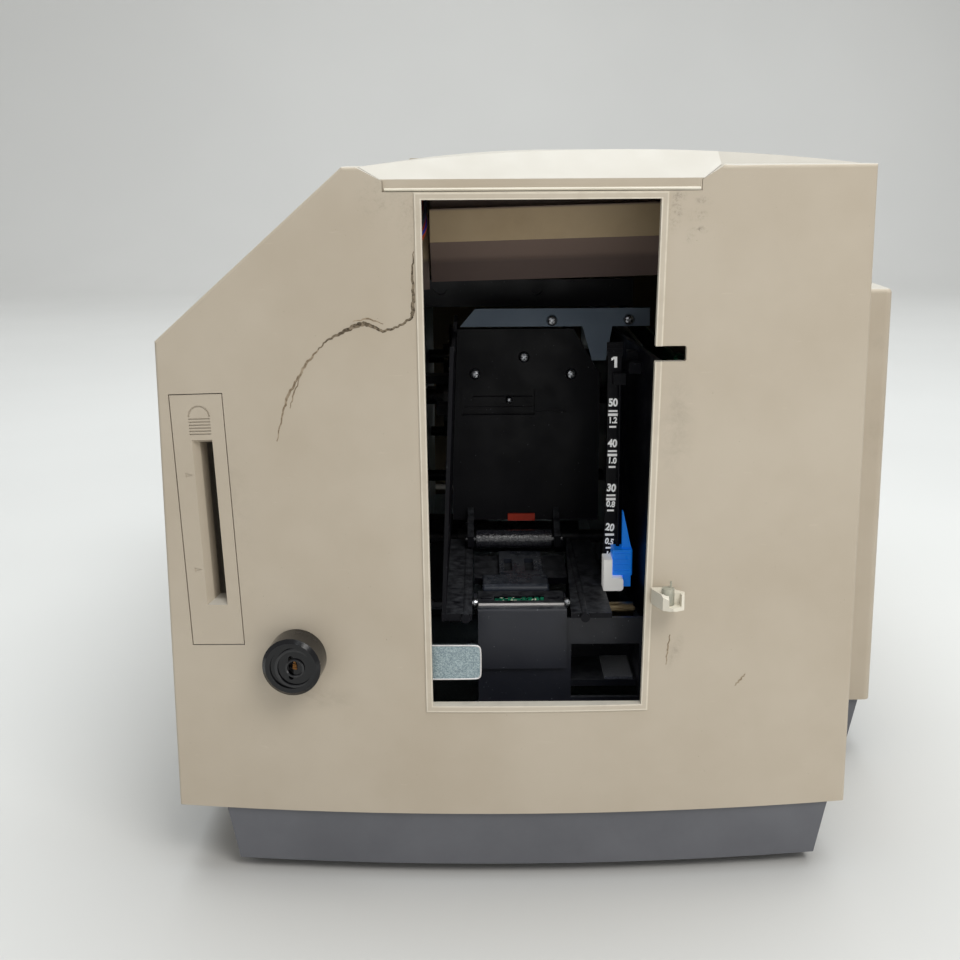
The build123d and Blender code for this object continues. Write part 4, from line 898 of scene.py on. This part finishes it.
def crack(bm):
    """The crack that runs down beside the window and turns away across the panel."""
    panel_strip(bm, [(-49.6, 224.0), (-50.2, 217.0), (-49.9, 210.0), (-50.3, 204.0), (-50.6, 202.4)],
                [0.25, 0.7, 1.0, 1.3, 0.7])
    panel_strip(bm, [(-50.6, 202.4), (-55.2, 199.4), (-60.2, 197.9), (-63.5, 199.6), (-66.5, 200.6),
                     (-69.4, 199.7), (-74.5, 197.2), (-78.8, 195.0), (-81.9, 191.7)],
                [0.9, 0.7, 0.9, 1.1, 1.5, 1.5, 1.0, 0.6, 0.4])


def rub_marks(bm):
    """Shallow scratches: on from the crack's end, two beside it, and two right of the window."""
    panel_strip(bm, [(-81.9, 191.7), (-86.1, 187.0), (-89.3, 181.6), (-92.6, 176.2), (-94.5, 170.4),
                     (-96.9, 160.7)], [0.5, 0.9, 0.7, 0.9, 0.6, 0.3])
    panel_strip(bm, [(-88.0, 183.0), (-90.6, 176.8), (-92.0, 172.0)], [0.2, 0.5, 0.2])
    panel_strip(bm, [(-60.0, 200.4), (-65.0, 202.2), (-70.0, 201.2)], [0.2, 0.6, 0.2])
    panel_strip(bm, [(60.4, 72.4), (62.2, 74.4), (64.0, 76.6)], [0.2, 0.7, 0.3])
    panel_strip(bm, [(37.0, 92.0), (36.2, 86.5), (35.8, 81.0)], [0.3, 0.6, 0.2])


piece("panel_crack", crack, crack_dark(), "housing", False)
piece("panel_rub_marks", rub_marks, rub_mark(), "housing", False)


# ------------------------------------------------------------------ stage, light, camera
def staging():
    """A pale floor that runs up into a pale wall behind the object."""
    bm = bmesh.new()
    front, back, turn, half, height, steps = -9.0, 2.6, 0.7, 9.0, 4.0, 16
    profile = [(front, 0.0), (back - turn, 0.0)]
    profile += [(back - turn + turn * math.sin(a), turn - turn * math.cos(a))
                for a in [math.pi / 2 * k / steps for k in range(1, steps + 1)]]
    profile.append((back, height))
    rows = [(bm.verts.new((-half, y, z)), bm.verts.new((half, y, z))) for y, z in profile]
    for low, high in zip(rows, rows[1:]):
        bm.faces.new((low[0], low[1], high[1], high[0]))
    mesh = bpy.data.meshes.new("floor")
    bm.normal_update()
    bm.to_mesh(mesh)
    bm.free()
    mesh.shade_smooth()
    floor = bpy.data.objects.new("floor", mesh)
    scene.collection.objects.link(floor)
    s = Shader("floor_white", Specular_IOR_Level=0.25)
    s.colour(s.mix(s.span(s.noise(900, 3), 0.3, 0.7), linear("c9c8c5"), linear("c4c3c0")))
    s.rough(s.span(s.noise(300, 3), 0.3, 0.7, 0.55, 0.7))
    mesh.materials.append(s.mat)


staging()


def area(name, place, target, size, power, tint):
    """A rectangular lamp at place that shines towards target."""
    data = bpy.data.lights.new(name, "AREA")
    data.shape = "RECTANGLE"
    data.size, data.size_y = size
    data.energy = power
    data.color = tint
    obj = bpy.data.objects.new(name, data)
    obj.location = place
    obj.rotation_euler = (Vector(target) - Vector(place)).to_track_quat("-Z", "Y").to_euler()
    scene.collection.objects.link(obj)


area("overhead", (0.15, 0.25, 1.8), (0.0, 0.1, 0.1), (1.8, 1.8), 42, (0.91, 0.965, 1.0))
area("front_right", (0.5, -1.2, 1.15), (0.0, -0.25, 0.1), (0.7, 0.6), 9.5, (1.0, 0.985, 0.96))
area("front_left", (-0.7, -1.5, 0.7), (0.0, -0.2, 0.12), (0.8, 0.8), 1.2, (0.98, 0.99, 1.0))
area("low_fill", (0.45, -1.1, 0.12), (0.05, -0.25, 0.06), (0.8, 0.22), 1.3, (1.0, 0.985, 0.96))
area("wall_wash", (0.0, 1.0, 2.2), (0.0, 2.6, 1.0), (3.0, 0.6), 20, (0.97, 0.99, 1.0))
world = bpy.data.worlds.new("room")
scene.world = world
world.use_nodes = True
world.node_tree.nodes["Background"].inputs["Color"].default_value = linear("eceded")
world.node_tree.nodes["Background"].inputs["Strength"].default_value = 0.5
scene.view_settings.view_transform = "Standard"

CAMERA_PLACE = (-0.0285, -0.7243, 0.256)
CAMERA_PITCH = 77.03
CAMERA_ROLL = -0.35
camera_data = bpy.data.cameras.new("camera")
camera_data.lens = 53.74
camera_data.sensor_width = 36
camera_data.clip_start = 0.01
camera = bpy.data.objects.new("camera", camera_data)
camera.matrix_world = (Matrix.Translation(CAMERA_PLACE)
                       @ Matrix.Rotation(math.radians(CAMERA_PITCH), 4, "X")
                       @ Matrix.Rotation(math.radians(CAMERA_ROLL), 4, "Z"))
scene.collection.objects.link(camera)
scene.camera = camera
